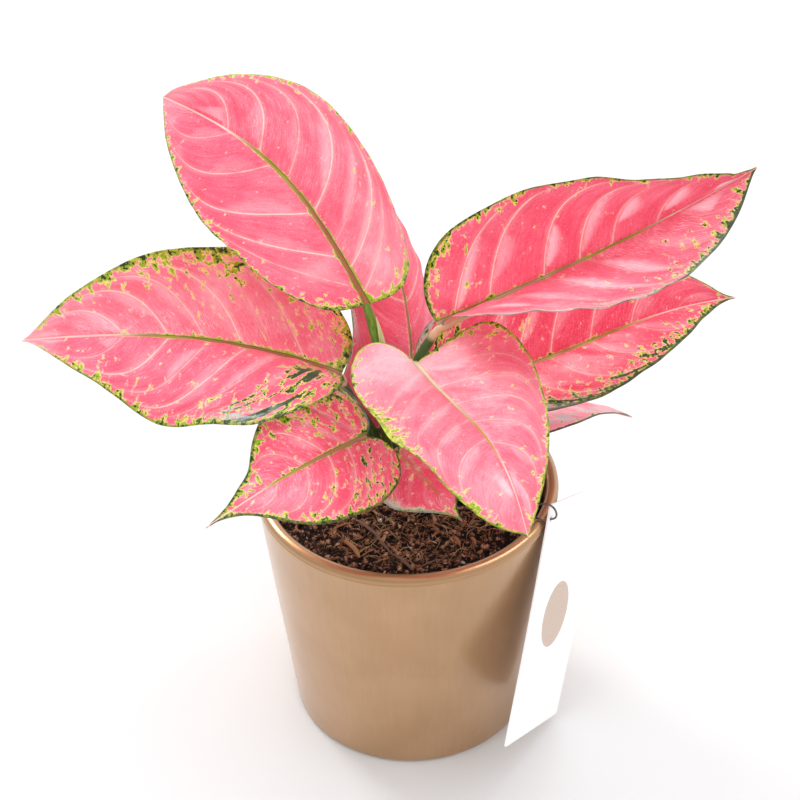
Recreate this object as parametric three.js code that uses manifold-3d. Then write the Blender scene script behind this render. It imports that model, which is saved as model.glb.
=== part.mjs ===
import * as THREE from 'three';
import { mergeVertices } from 'three/addons/utils/BufferGeometryUtils.js';
import Module from 'manifold-3d';

// A potted chinese evergreen, in millimetres, +Z up.
// The origin is the centre of the pot's underside, and -Y faces the viewer.

const wasm = await Module();
wasm.setup();

// Gap that neighbouring pieces keep
const SEAT_GAP = 0.3;

// Pot
const POT_HEIGHT = 130;
const POT_FOOT_RADIUS = 57;
const POT_RIM_RADIUS = 70;
const POT_LIP_RADIUS = 3;
const POT_WALL = 6;
const POT_FLOOR = 8;
const POT_FOOT_ROUNDING = 3;
const POT_INNER_CHAMFER = 4;
const POT_SIDES = 56;

// Soil
const SOIL_TOP = 118;
const SOIL_CROWN = 3;
const SOIL_LUMP = 1;
const SOIL_WAVE_LENGTHS = { x: 20, y: 23, across: 12, back: 10 };
const SOIL_RINGS = 6;
const SOIL_SIDES = 40;

// Stem: a short cane that stands in a plain hole in the soil
const CANE_X = -5;
const CANE_Y = 2;
const CANE_RADIUS = 11;
const CANE_FOOT = 92;
const CANE_TOP = 124;
const CANE_SHOULDER = { drop: 4, inset: 3 };
const CANE_SIDES = 20;
const STALK_FOOT = 112;
const STALK_FOOT_RADIUS = 5.2;
const STALK_SHEATH_RADIUS = 3.4;
const STALK_TOP_RADIUS = 2.3;
const STALK_END_RADIUS = 1.2;
const STALK_SHEATH_PART = 0.35;
const STALK_TAPER_PART = 0.92;
const STALK_SIDES = 8;
const STALK_STEPS = 12;

// Leaf blades
const BLADE_THICKNESS = 0.9;
const RIB_DEPTH = 2.0;
const RIB_TIP_DEPTH = 0.3;
const BLADE_ROWS = 16;
const BLADE_COLUMNS = [0, 0.06, 0.36, 0.7, 1];
const VEIN_CROWDING = 1.6;
const VEIN_SWEEP = 0.7;
const OUTLINE_SPLIT = 0.45;
const LOBE_PULL = [1.5, 0.9];
const BASE_FULLNESS = 0.05;
const NOTCH_OPENING = 0.15;
const TIP_SLIMNESS = 0.1;
const TWIST_CENTRE = 0.4;
const WAVES = 3;
const WAVE_OFFSET = 0.3;

// Each leaf is measured from the base of its midrib to its tip. Pairs are its left and right halves, seen
// from above with the tip ahead. Lobe, widest, shoulder and point are parts of the length. Angles are in
// degrees: roll turns the blade about its length, fold is each half's slope beside the midrib, curl is how
// much that slope changes by the margin, and twist turns the blade from base to tip. Arch and sweep bow the
// midrib up and to the right, as parts of the length, and an arch skew over 1 moves the crown of the arch
// towards the tip. Wave is how far the margin waves. A stalk has its foot on the cane, the height that it
// rises straight, the length of its run-in to the blade and the angle at which it meets the midrib.
const LEAVES = [
  {
    name: 'leaf_top_left', base: [-16, 12, 221], tip: [-105, 80, 289], halves: [45, 48],
    lobe: [0, 0.02], widest: [0.45, 0.45], shoulder: [0.35, 0.35], point: 0.05,
    roll: 25, fold: [22, 10], curl: [-10, -60], twist: 35, arch: 0.09, archSkew: 1.3, sweep: 0.08, wave: 1,
    stalk: { foot: [-3, 4], rise: 40, runIn: 30, angle: 30 },
  },
  {
    name: 'leaf_left', base: [-28, 0, 191], tip: [-165, -12, 223], halves: [51, 48],
    lobe: [0, 0], widest: [0.46, 0.34], shoulder: [0.28, 0.34], point: 0.08,
    roll: 2, fold: [18, 20], curl: [-55, 17], twist: 25, arch: 0.03, archSkew: 0.8, sweep: 0.06, wave: 1,
    stalk: { foot: [-4, 1], rise: 42, runIn: 18, angle: 62 },
  },
  {
    name: 'leaf_lower_left', base: [-18, -22, 173], tip: [-86, -76, 169], halves: [32, 31],
    lobe: [0.12, 0.12], widest: [0.4, 0.33], shoulder: [0.36, 0.3], point: 0.3,
    roll: 19, fold: [12, 3], curl: [-28, 20], twist: -30, arch: 0.16, archSkew: 1, sweep: -0.05, wave: 0.5,
    stalk: { foot: [-4, -3], rise: 30, runIn: 14, angle: 40 },
  },
  {
    name: 'leaf_centre_front', base: [5, -15, 208], tip: [48, -116, 194], halves: [40, 36],
    lobe: [0, 0.19], widest: [0.25, 0.42], shoulder: [0.25, 0.6], point: 0.04,
    roll: 10, fold: [19, 0], curl: [38, -5], twist: 18, arch: 0.11, archSkew: 1.6, sweep: -0.01, wave: 0.5,
    stalk: { foot: [2, -4], rise: 50, runIn: 22, angle: 60 },
  },
  {
    name: 'leaf_upper_right', base: [15, -5, 221], tip: [153, 20, 281], halves: [40, 48],
    lobe: [0.01, 0.07], widest: [0.37, 0.37], shoulder: [0.28, 0.37], point: 0.08,
    roll: -30, fold: [42, 41], curl: [7, 7], twist: -73, arch: 0, archSkew: 1, sweep: 0.02, wave: 1,
    stalk: { foot: [4, -1], rise: 55, runIn: 30, angle: 30 },
  },
  {
    name: 'leaf_middle_right', base: [18, 8, 176], tip: [150, 25, 210], halves: [48, 38],
    lobe: [0.1, 0.07], widest: [0.37, 0.42], shoulder: [0.36, 0.3], point: 0.16,
    roll: -12, fold: [25, 21], curl: [-2, -19], twist: -19, arch: 0.08, archSkew: 1.7, sweep: 0.05, wave: 1,
    stalk: { foot: [4, 3], rise: 35, runIn: 18, angle: 40 },
  },
  {
    name: 'leaf_low_right', base: [34, 12, 149], tip: [105, 18, 149], halves: [22, 22],
    lobe: [0.07, 0.07], widest: [0.38, 0.38], shoulder: [0.34, 0.34], point: 0.17,
    roll: 24, fold: [8, 8], curl: [-46, -46], twist: 0, arch: 0.1, archSkew: 1.2, sweep: 0, wave: 0,
    stalk: { foot: [4, 1], rise: 24, runIn: 14, angle: 20 },
  },
  {
    name: 'leaf_back', base: [3, 28, 159], tip: [-22, 85, 256], halves: [35, 33],
    lobe: [0.07, 0.07], widest: [0.32, 0.38], shoulder: [0.33, 0.34], point: 0.16,
    roll: -22, fold: [13, -12], curl: [-20, -33], twist: -9, arch: 0.1, archSkew: 0.9, sweep: 0, wave: 0,
    stalk: { foot: [2, 4], rise: 26, runIn: 14, angle: 20 },
  },
  {
    name: 'leaf_low_front', base: [-4, -16, 160], tip: [24, -48, 144], halves: [15, 20],
    lobe: [0.07, 0.07], widest: [0.37, 0.37], shoulder: [0.33, 0.24], point: 0.25,
    roll: -30, fold: [13, 10], curl: [-14, -20], twist: 4, arch: 0.09, archSkew: 1.1, sweep: 0, wave: 0,
    stalk: { foot: [1, -4], rise: 28, runIn: 8, angle: 70 },
  },
];

// The newest leaf, still rolled up
const SPEAR = { foot: [-9, 6, 140], bend: [-11, 8, 190], tip: [-10, 9, 218], radius: 2.8, tipRadius: 0.4 };
const SPEAR_SIDES = 6;
const SPEAR_STEPS = 8;

// Card tag that hangs from the rim by its top left corner
const CARD_CORNER = new THREE.Vector3(64, -31, 138);
const CARD_WIDTH = 68;
const CARD_HEIGHT = 116;
const CARD_THICKNESS = 0.8;
const CARD_CORNER_ROUNDING = 1.5;
const CARD_FACING = 63;
const CARD_LEAN = -2;
const CARD_HANG = -29;
const CARD_HOLE = { across: 3.5, down: 7, radius: 1.3 };

// Wire hook, over the lip and through the card: distance from the pot's axis, degrees round it, and height
const WIRE_RADIUS = 0.45;
const WIRE_SIDES = 8;
const WIRE_STEPS = 44;
const WIRE_ROUTE = [
  [70.1, -28.6, 129.2], [68.9, -28.5, 130.3], [67.0, -28.4, 130.8], [64.8, -28.3, 130.6],
  [62.2, -28.2, 131.4], [61.2, -28.0, 134.0], [63.0, -27.8, 136.8], [67.0, -27.6, 138.6],
  [70.6, -27.3, 139.6], [73.4, -27.0, 138.0], [74.6, -26.7, 134.6], [73.8, -26.4, 131.8],
  [72.4, -26.2, 130.5], [70.9, -26.1, 129.7],
];

const BRONZE = { color: 0xc09a70, roughness: 0.35, metalness: 0.6 };
const EARTH = { color: 0x3a271c, roughness: 1, metalness: 0 };
const STALK_GREEN = { color: 0x5f7f2e, roughness: 0.5, metalness: 0 };
const LEAF_PINK = { color: 0xe8677c, roughness: 0.35, metalness: 0 };
const CARD_WHITE = { color: 0xf5f3ee, roughness: 0.8, metalness: 0 };
const WIRE_GREY = { color: 0x6d6f62, roughness: 0.5, metalness: 0.6 };

const radians = THREE.MathUtils.degToRad;

// Signed volume of a mesh, positive where its faces point out
function signedVolume(geometry) {
  const place = geometry.getAttribute('position');
  const index = geometry.getIndex();
  const [a, b, c] = [new THREE.Vector3(), new THREE.Vector3(), new THREE.Vector3()];
  let volume = 0;
  for (let i = 0; i < index.count; i += 3) {
    a.fromBufferAttribute(place, index.getX(i));
    b.fromBufferAttribute(place, index.getX(i + 1));
    c.fromBufferAttribute(place, index.getX(i + 2));
    volume += a.dot(b.cross(c)) / 6;
  }
  return volume;
}

// Merges shared vertices, drops collapsed triangles and turns the faces outward
function closed(geometry) {
  geometry.deleteAttribute('normal');
  geometry.deleteAttribute('uv');
  const merged = mergeVertices(geometry, 1e-4);
  const index = merged.getIndex();
  const kept = [];
  for (let i = 0; i < index.count; i += 3) {
    const [a, b, c] = [index.getX(i), index.getX(i + 1), index.getX(i + 2)];
    if (a !== b && b !== c && c !== a) kept.push(a, b, c);
  }
  merged.setIndex(kept);
  if (signedVolume(merged) < 0) {
    for (let i = 0; i < kept.length; i += 3) [kept[i], kept[i + 1]] = [kept[i + 1], kept[i]];
    merged.setIndex(kept);
  }
  return merged;
}

function toManifold(geometry) {
  const vertProperties = new Float32Array(geometry.getAttribute('position').array);
  const triVerts = new Uint32Array(geometry.getIndex().array);
  return new wasm.Manifold(new wasm.Mesh({ numProp: 3, vertProperties, triVerts }));
}

function fromManifold(solid) {
  const mesh = solid.getMesh();
  const geometry = new THREE.BufferGeometry();
  geometry.setAttribute('position', new THREE.BufferAttribute(mesh.vertProperties, 3));
  geometry.setIndex(new THREE.BufferAttribute(mesh.triVerts, 1));
  return geometry;
}

// A lathed solid about +Z from a profile of [radius, height] points that starts and ends on the axis
function lathed(profile, sides) {
  const points = profile.map(([radius, height]) => new THREE.Vector2(radius, height));
  const geometry = new THREE.LatheGeometry(points, sides);
  geometry.rotateX(Math.PI / 2);
  return closed(geometry);
}

// Points of an arc in the profile, from one angle to another
function arc(centre, radius, from, to, steps) {
  const points = [];
  for (let i = 0; i <= steps; i += 1) {
    const angle = radians(from + ((to - from) * i) / steps);
    points.push([centre[0] + radius * Math.cos(angle), centre[1] + radius * Math.sin(angle)]);
  }
  return points;
}

// A closed tube along a curve whose radius is a function of the distance along it, from 0 to 1
function tube(curve, radiusAt, sides, steps) {
  const frames = curve.computeFrenetFrames(steps, false);
  const positions = [];
  const index = [];
  for (let i = 0; i <= steps; i += 1) {
    const centre = curve.getPointAt(i / steps);
    const radius = radiusAt(i / steps);
    for (let k = 0; k < sides; k += 1) {
      const angle = (2 * Math.PI * k) / sides;
      const point = centre.clone()
        .addScaledVector(frames.normals[i], radius * Math.cos(angle))
        .addScaledVector(frames.binormals[i], radius * Math.sin(angle));
      positions.push(point.x, point.y, point.z);
    }
  }
  for (let i = 0; i < steps; i += 1) {
    for (let k = 0; k < sides; k += 1) {
      const a = i * sides + k;
      const b = i * sides + ((k + 1) % sides);
      index.push(a, b, b + sides, a, b + sides, a + sides);
    }
  }
  const last = steps * sides;
  for (let k = 1; k < sides - 1; k += 1) {
    index.push(0, k + 1, k);
    index.push(last, last + k, last + k + 1);
  }
  const geometry = new THREE.BufferGeometry();
  geometry.setAttribute('position', new THREE.Float32BufferAttribute(positions, 3));
  geometry.setIndex(index);
  return closed(geometry);
}

function cubic(p0, p1, p2, p3, t) {
  const s = 1 - t;
  return s * s * s * p0 + 3 * s * s * t * p1 + 3 * s * t * t * p2 + t * t * t * p3;
}

// Half outline of a blade, from the notch at its base (0) to its tip (1): along the length, across the half
function halfOutline(step, leaf, side) {
  const lobe = leaf.lobe[side];
  const widest = leaf.widest[side];
  const shoulder = widest + leaf.shoulder[side];
  if (step <= OUTLINE_SPLIT) {
    const t = step / OUTLINE_SPLIT;
    const x = cubic(0, -LOBE_PULL[0] * lobe, -LOBE_PULL[1] * lobe - BASE_FULLNESS, widest, t);
    return [x, cubic(0, NOTCH_OPENING, 1, 1, t)];
  }
  const t = (step - OUTLINE_SPLIT) / (1 - OUTLINE_SPLIT);
  return [cubic(widest, shoulder, 1 - leaf.point, 1, t), cubic(1, 1, TIP_SLIMNESS, 0, t)];
}

// The chord frame of a blade: length, direction, sideways (to its right) and up
function chord(leaf) {
  const base = new THREE.Vector3(...leaf.base);
  const along = new THREE.Vector3(...leaf.tip).sub(base);
  const length = along.length();
  along.normalize();
  const level = new THREE.Vector3().crossVectors(along, new THREE.Vector3(0, 0, 1)).normalize();
  const above = new THREE.Vector3().crossVectors(level, along);
  const roll = radians(leaf.roll);
  const right = level.clone().multiplyScalar(Math.cos(roll)).addScaledVector(above, Math.sin(roll));
  const up = above.clone().multiplyScalar(Math.cos(roll)).addScaledVector(level, -Math.sin(roll));
  return { base, length, along, right, up };
}

// A point of the midrib, which runs on straight behind the base
function midrib(leaf, frame, x) {
  const near = 0.01;
  const at = x < 0 ? near : Math.max(x, 1e-6);
  const scale = x < 0 ? x / near : 1;
  const rise = leaf.arch * Math.sin(Math.PI * Math.min(at, 1) ** leaf.archSkew) * scale;
  const shift = leaf.sweep * Math.sin(Math.PI * Math.min(at, 1)) * scale;
  return frame.base.clone()
    .addScaledVector(frame.along, frame.length * x)
    .addScaledVector(frame.up, frame.length * rise)
    .addScaledVector(frame.right, frame.length * shift);
}

// The middle surface of a blade and its upward normal, at a part x of its length and u of a half's width
function bladePoint(leaf, frame, side, x, u) {
  const centre = midrib(leaf, frame, x);
  const tangent = midrib(leaf, frame, x + 0.001).sub(centre).normalize();
  const twist = radians(leaf.twist) * (Math.min(Math.max(x, 0), 1) - TWIST_CENTRE);
  const across = frame.right.clone().multiplyScalar(Math.cos(twist))
    .addScaledVector(frame.up, Math.sin(twist));
  across.addScaledVector(tangent, -across.dot(tangent)).normalize();
  const up = new THREE.Vector3().crossVectors(across, tangent);
  const sign = side === 0 ? -1 : 1;
  const half = leaf.halves[side];
  const fold = radians(leaf.fold[side]);
  const bend = radians(leaf.curl[side]) / half;
  const reach = u * half;
  const slope = fold + bend * reach;
  let out = reach * Math.cos(fold);
  let rise = reach * Math.sin(fold);
  if (Math.abs(bend) > 1e-7) {
    out = (Math.sin(slope) - Math.sin(fold)) / bend;
    rise = (Math.cos(fold) - Math.cos(slope)) / bend;
  }
  rise += leaf.wave * u * u * Math.sin(2 * Math.PI * (WAVES * x + WAVE_OFFSET * side));
  const point = centre.addScaledVector(across, sign * out).addScaledVector(up, rise);
  const normal = up.multiplyScalar(Math.cos(slope)).addScaledVector(across, -sign * Math.sin(slope));
  return { point, normal };
}

// A blade: two faces split alike, a rim between them and a ridge below the midrib. Its rows follow the side
// veins, from a point of the midrib to a point of the margin.
function blade(leaf) {
  const frame = chord(leaf);
  const last = BLADE_COLUMNS.length - 1;
  const columns = 2 * last + 1;
  const positions = [];
  const index = [];
  function addPair(side, x, u, depth) {
    const { point, normal } = bladePoint(leaf, frame, side, x, u);
    const top = point.clone().addScaledVector(normal, BLADE_THICKNESS / 2);
    const bottom = point.clone().addScaledVector(normal, -BLADE_THICKNESS / 2 - depth);
    positions.push(top.x, top.y, top.z, bottom.x, bottom.y, bottom.z);
    return positions.length / 3 - 2;
  }
  const rows = [];
  for (let i = 0; i <= BLADE_ROWS; i += 1) {
    const step = i / BLADE_ROWS;
    if (i === 0 || i === BLADE_ROWS) {
      rows.push(new Array(columns).fill(addPair(1, step, 0, 0)));
      continue;
    }
    const start = step ** VEIN_CROWDING;
    const curveOut = 1 + VEIN_SWEEP * Math.min(step / OUTLINE_SPLIT, 1);
    const row = [];
    for (let k = -last; k <= last; k += 1) {
      const side = k < 0 ? 0 : 1;
      const v = BLADE_COLUMNS[Math.abs(k)];
      const [marginX, marginU] = halfOutline(step, leaf, side);
      const x = start + (marginX - start) * v ** curveOut;
      const depth = k === 0 ? RIB_DEPTH + (RIB_TIP_DEPTH - RIB_DEPTH) * start : 0;
      row.push(addPair(side, x, marginU * v, depth));
    }
    rows.push(row);
  }
  for (let i = 0; i < BLADE_ROWS; i += 1) {
    for (let k = 0; k < columns - 1; k += 1) {
      const [a, b, c, d] = [rows[i][k], rows[i][k + 1], rows[i + 1][k + 1], rows[i + 1][k]];
      const split = k < last ? [a, b, c, a, c, d] : [a, b, d, b, c, d];
      for (let j = 0; j < 6; j += 3) {
        const [p, q, r] = split.slice(j, j + 3);
        if (p === q || q === r || r === p) continue;
        index.push(p, q, r, r + 1, q + 1, p + 1);
      }
    }
    const [a, d] = [rows[i][0], rows[i + 1][0]];
    index.push(a, d, d + 1, a, d + 1, a + 1);
    const [b, c] = [rows[i][columns - 1], rows[i + 1][columns - 1]];
    index.push(b, c + 1, c, b, b + 1, c + 1);
  }
  const geometry = new THREE.BufferGeometry();
  geometry.setAttribute('position', new THREE.Float32BufferAttribute(positions, 3));
  geometry.setIndex(index);
  return closed(geometry);
}

// A leaf stalk rises from the cane and bends in under the base of its blade
function stalk(leaf) {
  const frame = chord(leaf);
  const { foot, rise, runIn, angle } = leaf.stalk;
  const direction = midrib(leaf, frame, 0.02).sub(frame.base).normalize();
  const { normal } = bladePoint(leaf, frame, 1, 0.02, 0);
  const arrival = direction.clone().multiplyScalar(Math.cos(radians(angle)))
    .addScaledVector(normal, Math.sin(radians(angle)));
  const below = BLADE_THICKNESS / 2 + SEAT_GAP + STALK_END_RADIUS * Math.cos(radians(angle));
  const behind = STALK_END_RADIUS * Math.sin(radians(angle)) ** 2;
  const end = frame.base.clone().addScaledVector(normal, -below).addScaledVector(direction, -behind);
  const start = new THREE.Vector3(CANE_X + foot[0], CANE_Y + foot[1], STALK_FOOT);
  const curve = new THREE.CubicBezierCurve3(
    start,
    start.clone().add(new THREE.Vector3(0, 0, rise)),
    end.clone().addScaledVector(arrival, -runIn),
    end,
  );
  const stops = [
    [0, STALK_FOOT_RADIUS],
    [STALK_SHEATH_PART, STALK_SHEATH_RADIUS],
    [STALK_TAPER_PART, STALK_TOP_RADIUS],
    [1, STALK_END_RADIUS],
  ];
  function radiusAt(t) {
    const k = stops.findIndex(([part], i) => i > 0 && t <= part);
    const [[from, wide], [to, slim]] = [stops[k - 1], stops[k]];
    return THREE.MathUtils.mapLinear(t, from, to, wide, slim);
  }
  return tube(curve, radiusAt, STALK_SIDES, STALK_STEPS);
}

// The cane, the stalks that sheathe each other on it and the rolled new leaf, grown as one piece
function stems() {
  const cane = lathed([
    [0, CANE_FOOT + SEAT_GAP],
    [CANE_RADIUS, CANE_FOOT + SEAT_GAP],
    [CANE_RADIUS, CANE_TOP - CANE_SHOULDER.drop],
    [CANE_RADIUS - CANE_SHOULDER.inset, CANE_TOP],
    [0, CANE_TOP],
  ], CANE_SIDES);
  cane.translate(CANE_X, CANE_Y, 0);
  let solid = toManifold(cane);
  for (const leaf of LEAVES) solid = solid.add(toManifold(stalk(leaf)));
  const spearCurve = new THREE.QuadraticBezierCurve3(
    new THREE.Vector3(...SPEAR.foot),
    new THREE.Vector3(...SPEAR.bend),
    new THREE.Vector3(...SPEAR.tip),
  );
  const spearRadius = (t) => THREE.MathUtils.lerp(SPEAR.radius, SPEAR.tipRadius, t * t);
  solid = solid.add(toManifold(tube(spearCurve, spearRadius, SPEAR_SIDES, SPEAR_STEPS)));
  return fromManifold(solid);
}

// Outer radius of the pot's tapered wall at a height
function wallRadius(height) {
  return POT_FOOT_RADIUS + ((POT_RIM_RADIUS - POT_FOOT_RADIUS) * height) / (POT_HEIGHT - POT_LIP_RADIUS);
}

function pot() {
  const lipCentre = [POT_RIM_RADIUS - POT_LIP_RADIUS, POT_HEIGHT - POT_LIP_RADIUS];
  const footCentre = [wallRadius(POT_FOOT_ROUNDING) - POT_FOOT_ROUNDING, POT_FOOT_ROUNDING];
  const profile = [
    [0, 0],
    ...arc(footCentre, POT_FOOT_ROUNDING, -90, 0, 3),
    [wallRadius(POT_HEIGHT / 2), POT_HEIGHT / 2],
    ...arc(lipCentre, POT_LIP_RADIUS, 0, 180, 7),
    [wallRadius(POT_FLOOR + POT_INNER_CHAMFER) - POT_WALL, POT_FLOOR + POT_INNER_CHAMFER],
    [wallRadius(POT_FLOOR) - POT_WALL - POT_INNER_CHAMFER, POT_FLOOR],
    [0, POT_FLOOR],
  ];
  return lathed(profile, POT_SIDES);
}

// Height of the soil's lumps at a place, from about -1.6 to 1.6
function soilLump(x, y) {
  const turn = 2 * Math.PI;
  const lengths = SOIL_WAVE_LENGTHS;
  const broad = Math.sin((turn * x) / lengths.x + 1.3) * Math.cos((turn * y) / lengths.y);
  return broad + 0.6 * Math.sin(turn * (x / lengths.across - y / lengths.back));
}

// Soil fills the pot, with a low lumpy mound on top and a plain hole for the cane
function soil() {
  const holeRadius = CANE_RADIUS + SEAT_GAP;
  const outer = wallRadius(SOIL_TOP) - POT_WALL - 2 * SEAT_GAP;
  const floorLevel = POT_FLOOR + SEAT_GAP;
  const chamferTop = POT_FLOOR + POT_INNER_CHAMFER + 3 * SEAT_GAP;
  const floorRadius = wallRadius(POT_FLOOR) - POT_WALL - POT_INNER_CHAMFER - 3 * SEAT_GAP;
  const profile = [[0, CANE_FOOT], [holeRadius, CANE_FOOT], [holeRadius, SOIL_TOP]];
  for (let i = 1; i <= SOIL_RINGS; i += 1) {
    profile.push([THREE.MathUtils.lerp(holeRadius, outer, i / SOIL_RINGS), SOIL_TOP]);
  }
  profile.push([wallRadius(chamferTop) - POT_WALL - 2 * SEAT_GAP, chamferTop]);
  profile.push([floorRadius, floorLevel], [0, floorLevel]);
  const geometry = lathed(profile, SOIL_SIDES);
  const place = geometry.getAttribute('position');
  for (let i = 0; i < place.count; i += 1) {
    if (place.getZ(i) < SOIL_TOP - 1) continue;
    const [x, y] = [place.getX(i), place.getY(i)];
    const toWall = Math.hypot(x, y) / outer;
    place.setZ(i, SOIL_TOP + SOIL_CROWN * (1 - toWall * toWall) + SOIL_LUMP * soilLump(x, y));
  }
  // The hole is off the pot's axis, so the rings lean over to it
  for (let i = 0; i < place.count; i += 1) {
    const [x, y, z] = [place.getX(i), place.getY(i), place.getZ(i)];
    if (z < CANE_FOOT - 1) continue;
    const outward = Math.max(0, Math.hypot(x, y) - holeRadius) / (outer - holeRadius);
    const lean = Math.max(0, 1 - outward);
    place.setXY(i, x + CANE_X * lean, y + CANE_Y * lean);
  }
  return geometry;
}

// The card's own axes: across to the right, up its left edge and out of its printed face
function cardAxes() {
  const facing = radians(CARD_FACING);
  const level = new THREE.Vector3(Math.cos(facing), Math.sin(facing), 0);
  const outward = new THREE.Vector3(Math.sin(facing), -Math.cos(facing), 0);
  const upright = new THREE.Vector3(0, 0, Math.cos(radians(CARD_LEAN)))
    .addScaledVector(outward, Math.sin(radians(CARD_LEAN)));
  const hang = radians(CARD_HANG);
  const across = level.clone().multiplyScalar(Math.cos(hang)).addScaledVector(upright, Math.sin(hang));
  const up = upright.clone().multiplyScalar(Math.cos(hang)).addScaledVector(level, -Math.sin(hang));
  return { across, up, out: new THREE.Vector3().crossVectors(across, up) };
}

function card() {
  const [w, h, r] = [CARD_WIDTH, CARD_HEIGHT, CARD_CORNER_ROUNDING];
  const shape = new THREE.Shape();
  shape.moveTo(r, 0);
  shape.lineTo(w - r, 0);
  shape.absarc(w - r, r, r, -Math.PI / 2, 0);
  shape.lineTo(w, h - r);
  shape.absarc(w - r, h - r, r, 0, Math.PI / 2);
  shape.lineTo(r, h);
  shape.absarc(r, h - r, r, Math.PI / 2, Math.PI);
  shape.lineTo(0, r);
  shape.absarc(r, r, r, Math.PI, 1.5 * Math.PI);
  const hole = new THREE.Path();
  hole.absarc(CARD_HOLE.across, h - CARD_HOLE.down, CARD_HOLE.radius, 0, 2 * Math.PI);
  shape.holes.push(hole);
  const options = { depth: CARD_THICKNESS, bevelEnabled: false, curveSegments: 4 };
  const geometry = new THREE.ExtrudeGeometry(shape, options);
  geometry.translate(0, -h, -CARD_THICKNESS / 2);
  return closed(geometry);
}

function wire() {
  const points = WIRE_ROUTE.map(([radius, angle, height]) => new THREE.Vector3(
    radius * Math.cos(radians(angle)),
    radius * Math.sin(radians(angle)),
    height,
  ));
  return tube(new THREE.CatmullRomCurve3(points), () => WIRE_RADIUS, WIRE_SIDES, WIRE_STEPS);
}

function piece(name, geometry, look) {
  const shaded = geometry.clone();
  shaded.computeVertexNormals();
  const mesh = new THREE.Mesh(shaded, new THREE.MeshStandardMaterial(look));
  mesh.name = name;
  return mesh;
}

const group = new THREE.Group();
group.add(piece('pot', pot(), BRONZE));
group.add(piece('soil', soil(), EARTH));
group.add(piece('stems', stems(), STALK_GREEN));
for (const leaf of LEAVES) group.add(piece(leaf.name, blade(leaf), LEAF_PINK));

const tag = piece('tag_card', card(), CARD_WHITE);
const { across, up, out } = cardAxes();
tag.applyMatrix4(new THREE.Matrix4().makeBasis(across, up, out));
tag.position.copy(CARD_CORNER);
group.add(tag);
group.add(piece('tag_wire', wire(), WIRE_GREY));

export default group;
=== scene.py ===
"""Looks of a potted chinese evergreen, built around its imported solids.

Lengths are in millimetres until a mesh is made, and +Z is up. The origin is the centre of the pot's
underside, and -Y faces the viewer.
"""

import math

import bmesh
import bpy
import numpy as np
from mathutils import Matrix, Vector, noise


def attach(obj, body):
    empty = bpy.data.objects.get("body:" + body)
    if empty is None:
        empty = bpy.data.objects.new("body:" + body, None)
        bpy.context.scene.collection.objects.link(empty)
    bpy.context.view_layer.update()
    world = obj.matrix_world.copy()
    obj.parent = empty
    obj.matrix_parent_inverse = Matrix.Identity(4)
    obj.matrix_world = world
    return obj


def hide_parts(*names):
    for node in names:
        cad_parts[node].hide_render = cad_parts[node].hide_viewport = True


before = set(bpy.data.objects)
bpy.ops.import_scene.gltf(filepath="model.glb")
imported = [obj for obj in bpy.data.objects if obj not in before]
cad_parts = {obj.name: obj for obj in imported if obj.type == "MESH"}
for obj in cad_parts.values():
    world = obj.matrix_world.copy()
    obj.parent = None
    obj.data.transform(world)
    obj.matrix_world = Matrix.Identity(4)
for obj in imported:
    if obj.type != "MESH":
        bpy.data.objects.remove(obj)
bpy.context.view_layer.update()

MM = 0.001
SEED = 20
MARGIN_SEED = SEED + 50
PAINTED_GLOSS_SEED = SEED + 100

# Camera
FRAME_PIXELS = 800
FOCAL_PIXELS = 2155
SENSOR = 36
CLIP_START = 0.05
CAMERA_AIM = (0, 0, 128)
CAMERA_AIM_PIXEL = (405.3, 481.6)
CAMERA_DISTANCE = 1000
CAMERA_ELEVATION = 39.85
CAMERA_ROLL = -1.47

# Pot, with a fine groove below its lip
POT_HEIGHT = 130
POT_FOOT_RADIUS = 57
POT_RIM_RADIUS = 70
POT_LIP_RADIUS = 3
POT_WALL = 6
POT_FLOOR = 8
POT_FOOT_ROUNDING = 3
POT_INNER_ROUNDING = 4
POT_SIDES = 224
POT_WOBBLE = 0.0006
GROOVE_HEIGHT = 1.4
GROOVE_DEPTH = 0.5
LIP_GLAZE = (126.5, 127.2)

# Soil
SOIL_TOP = 118
SOIL_CROWN = 3
SOIL_CROWN_RADIUS = 63
SOIL_GAP = 0.4
SOIL_FLOOR_GAP = 0.3
SOIL_LUMP = 1.3
SOIL_CRUMB = 1.5
SOIL_SINK = 0.6
SOIL_EDGE_DROP = 1.2
SOIL_RINGS = 150
SOIL_SIDES = 380
# Soil attributes: light is painted shade on the soil's top, dark in the hollows and light on the tops, and a
# random tone on crumbs and bits
SOIL_FIELDS = ("light", "tone", "straw", "twig")

# Crumbs: fineness of the ball, count, smallest and largest size
CRUMBS = ((2, 1000, 0.3, 0.6), (1, 2200, 0.18, 0.4))
CRUMB_FLATNESS = 0.6
FIBRES = 700
FIBRE_LENGTHS = (2, 10)
FIBRE_RADII = (0.08, 0.24)
FIBRE_REACH = 50

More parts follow.
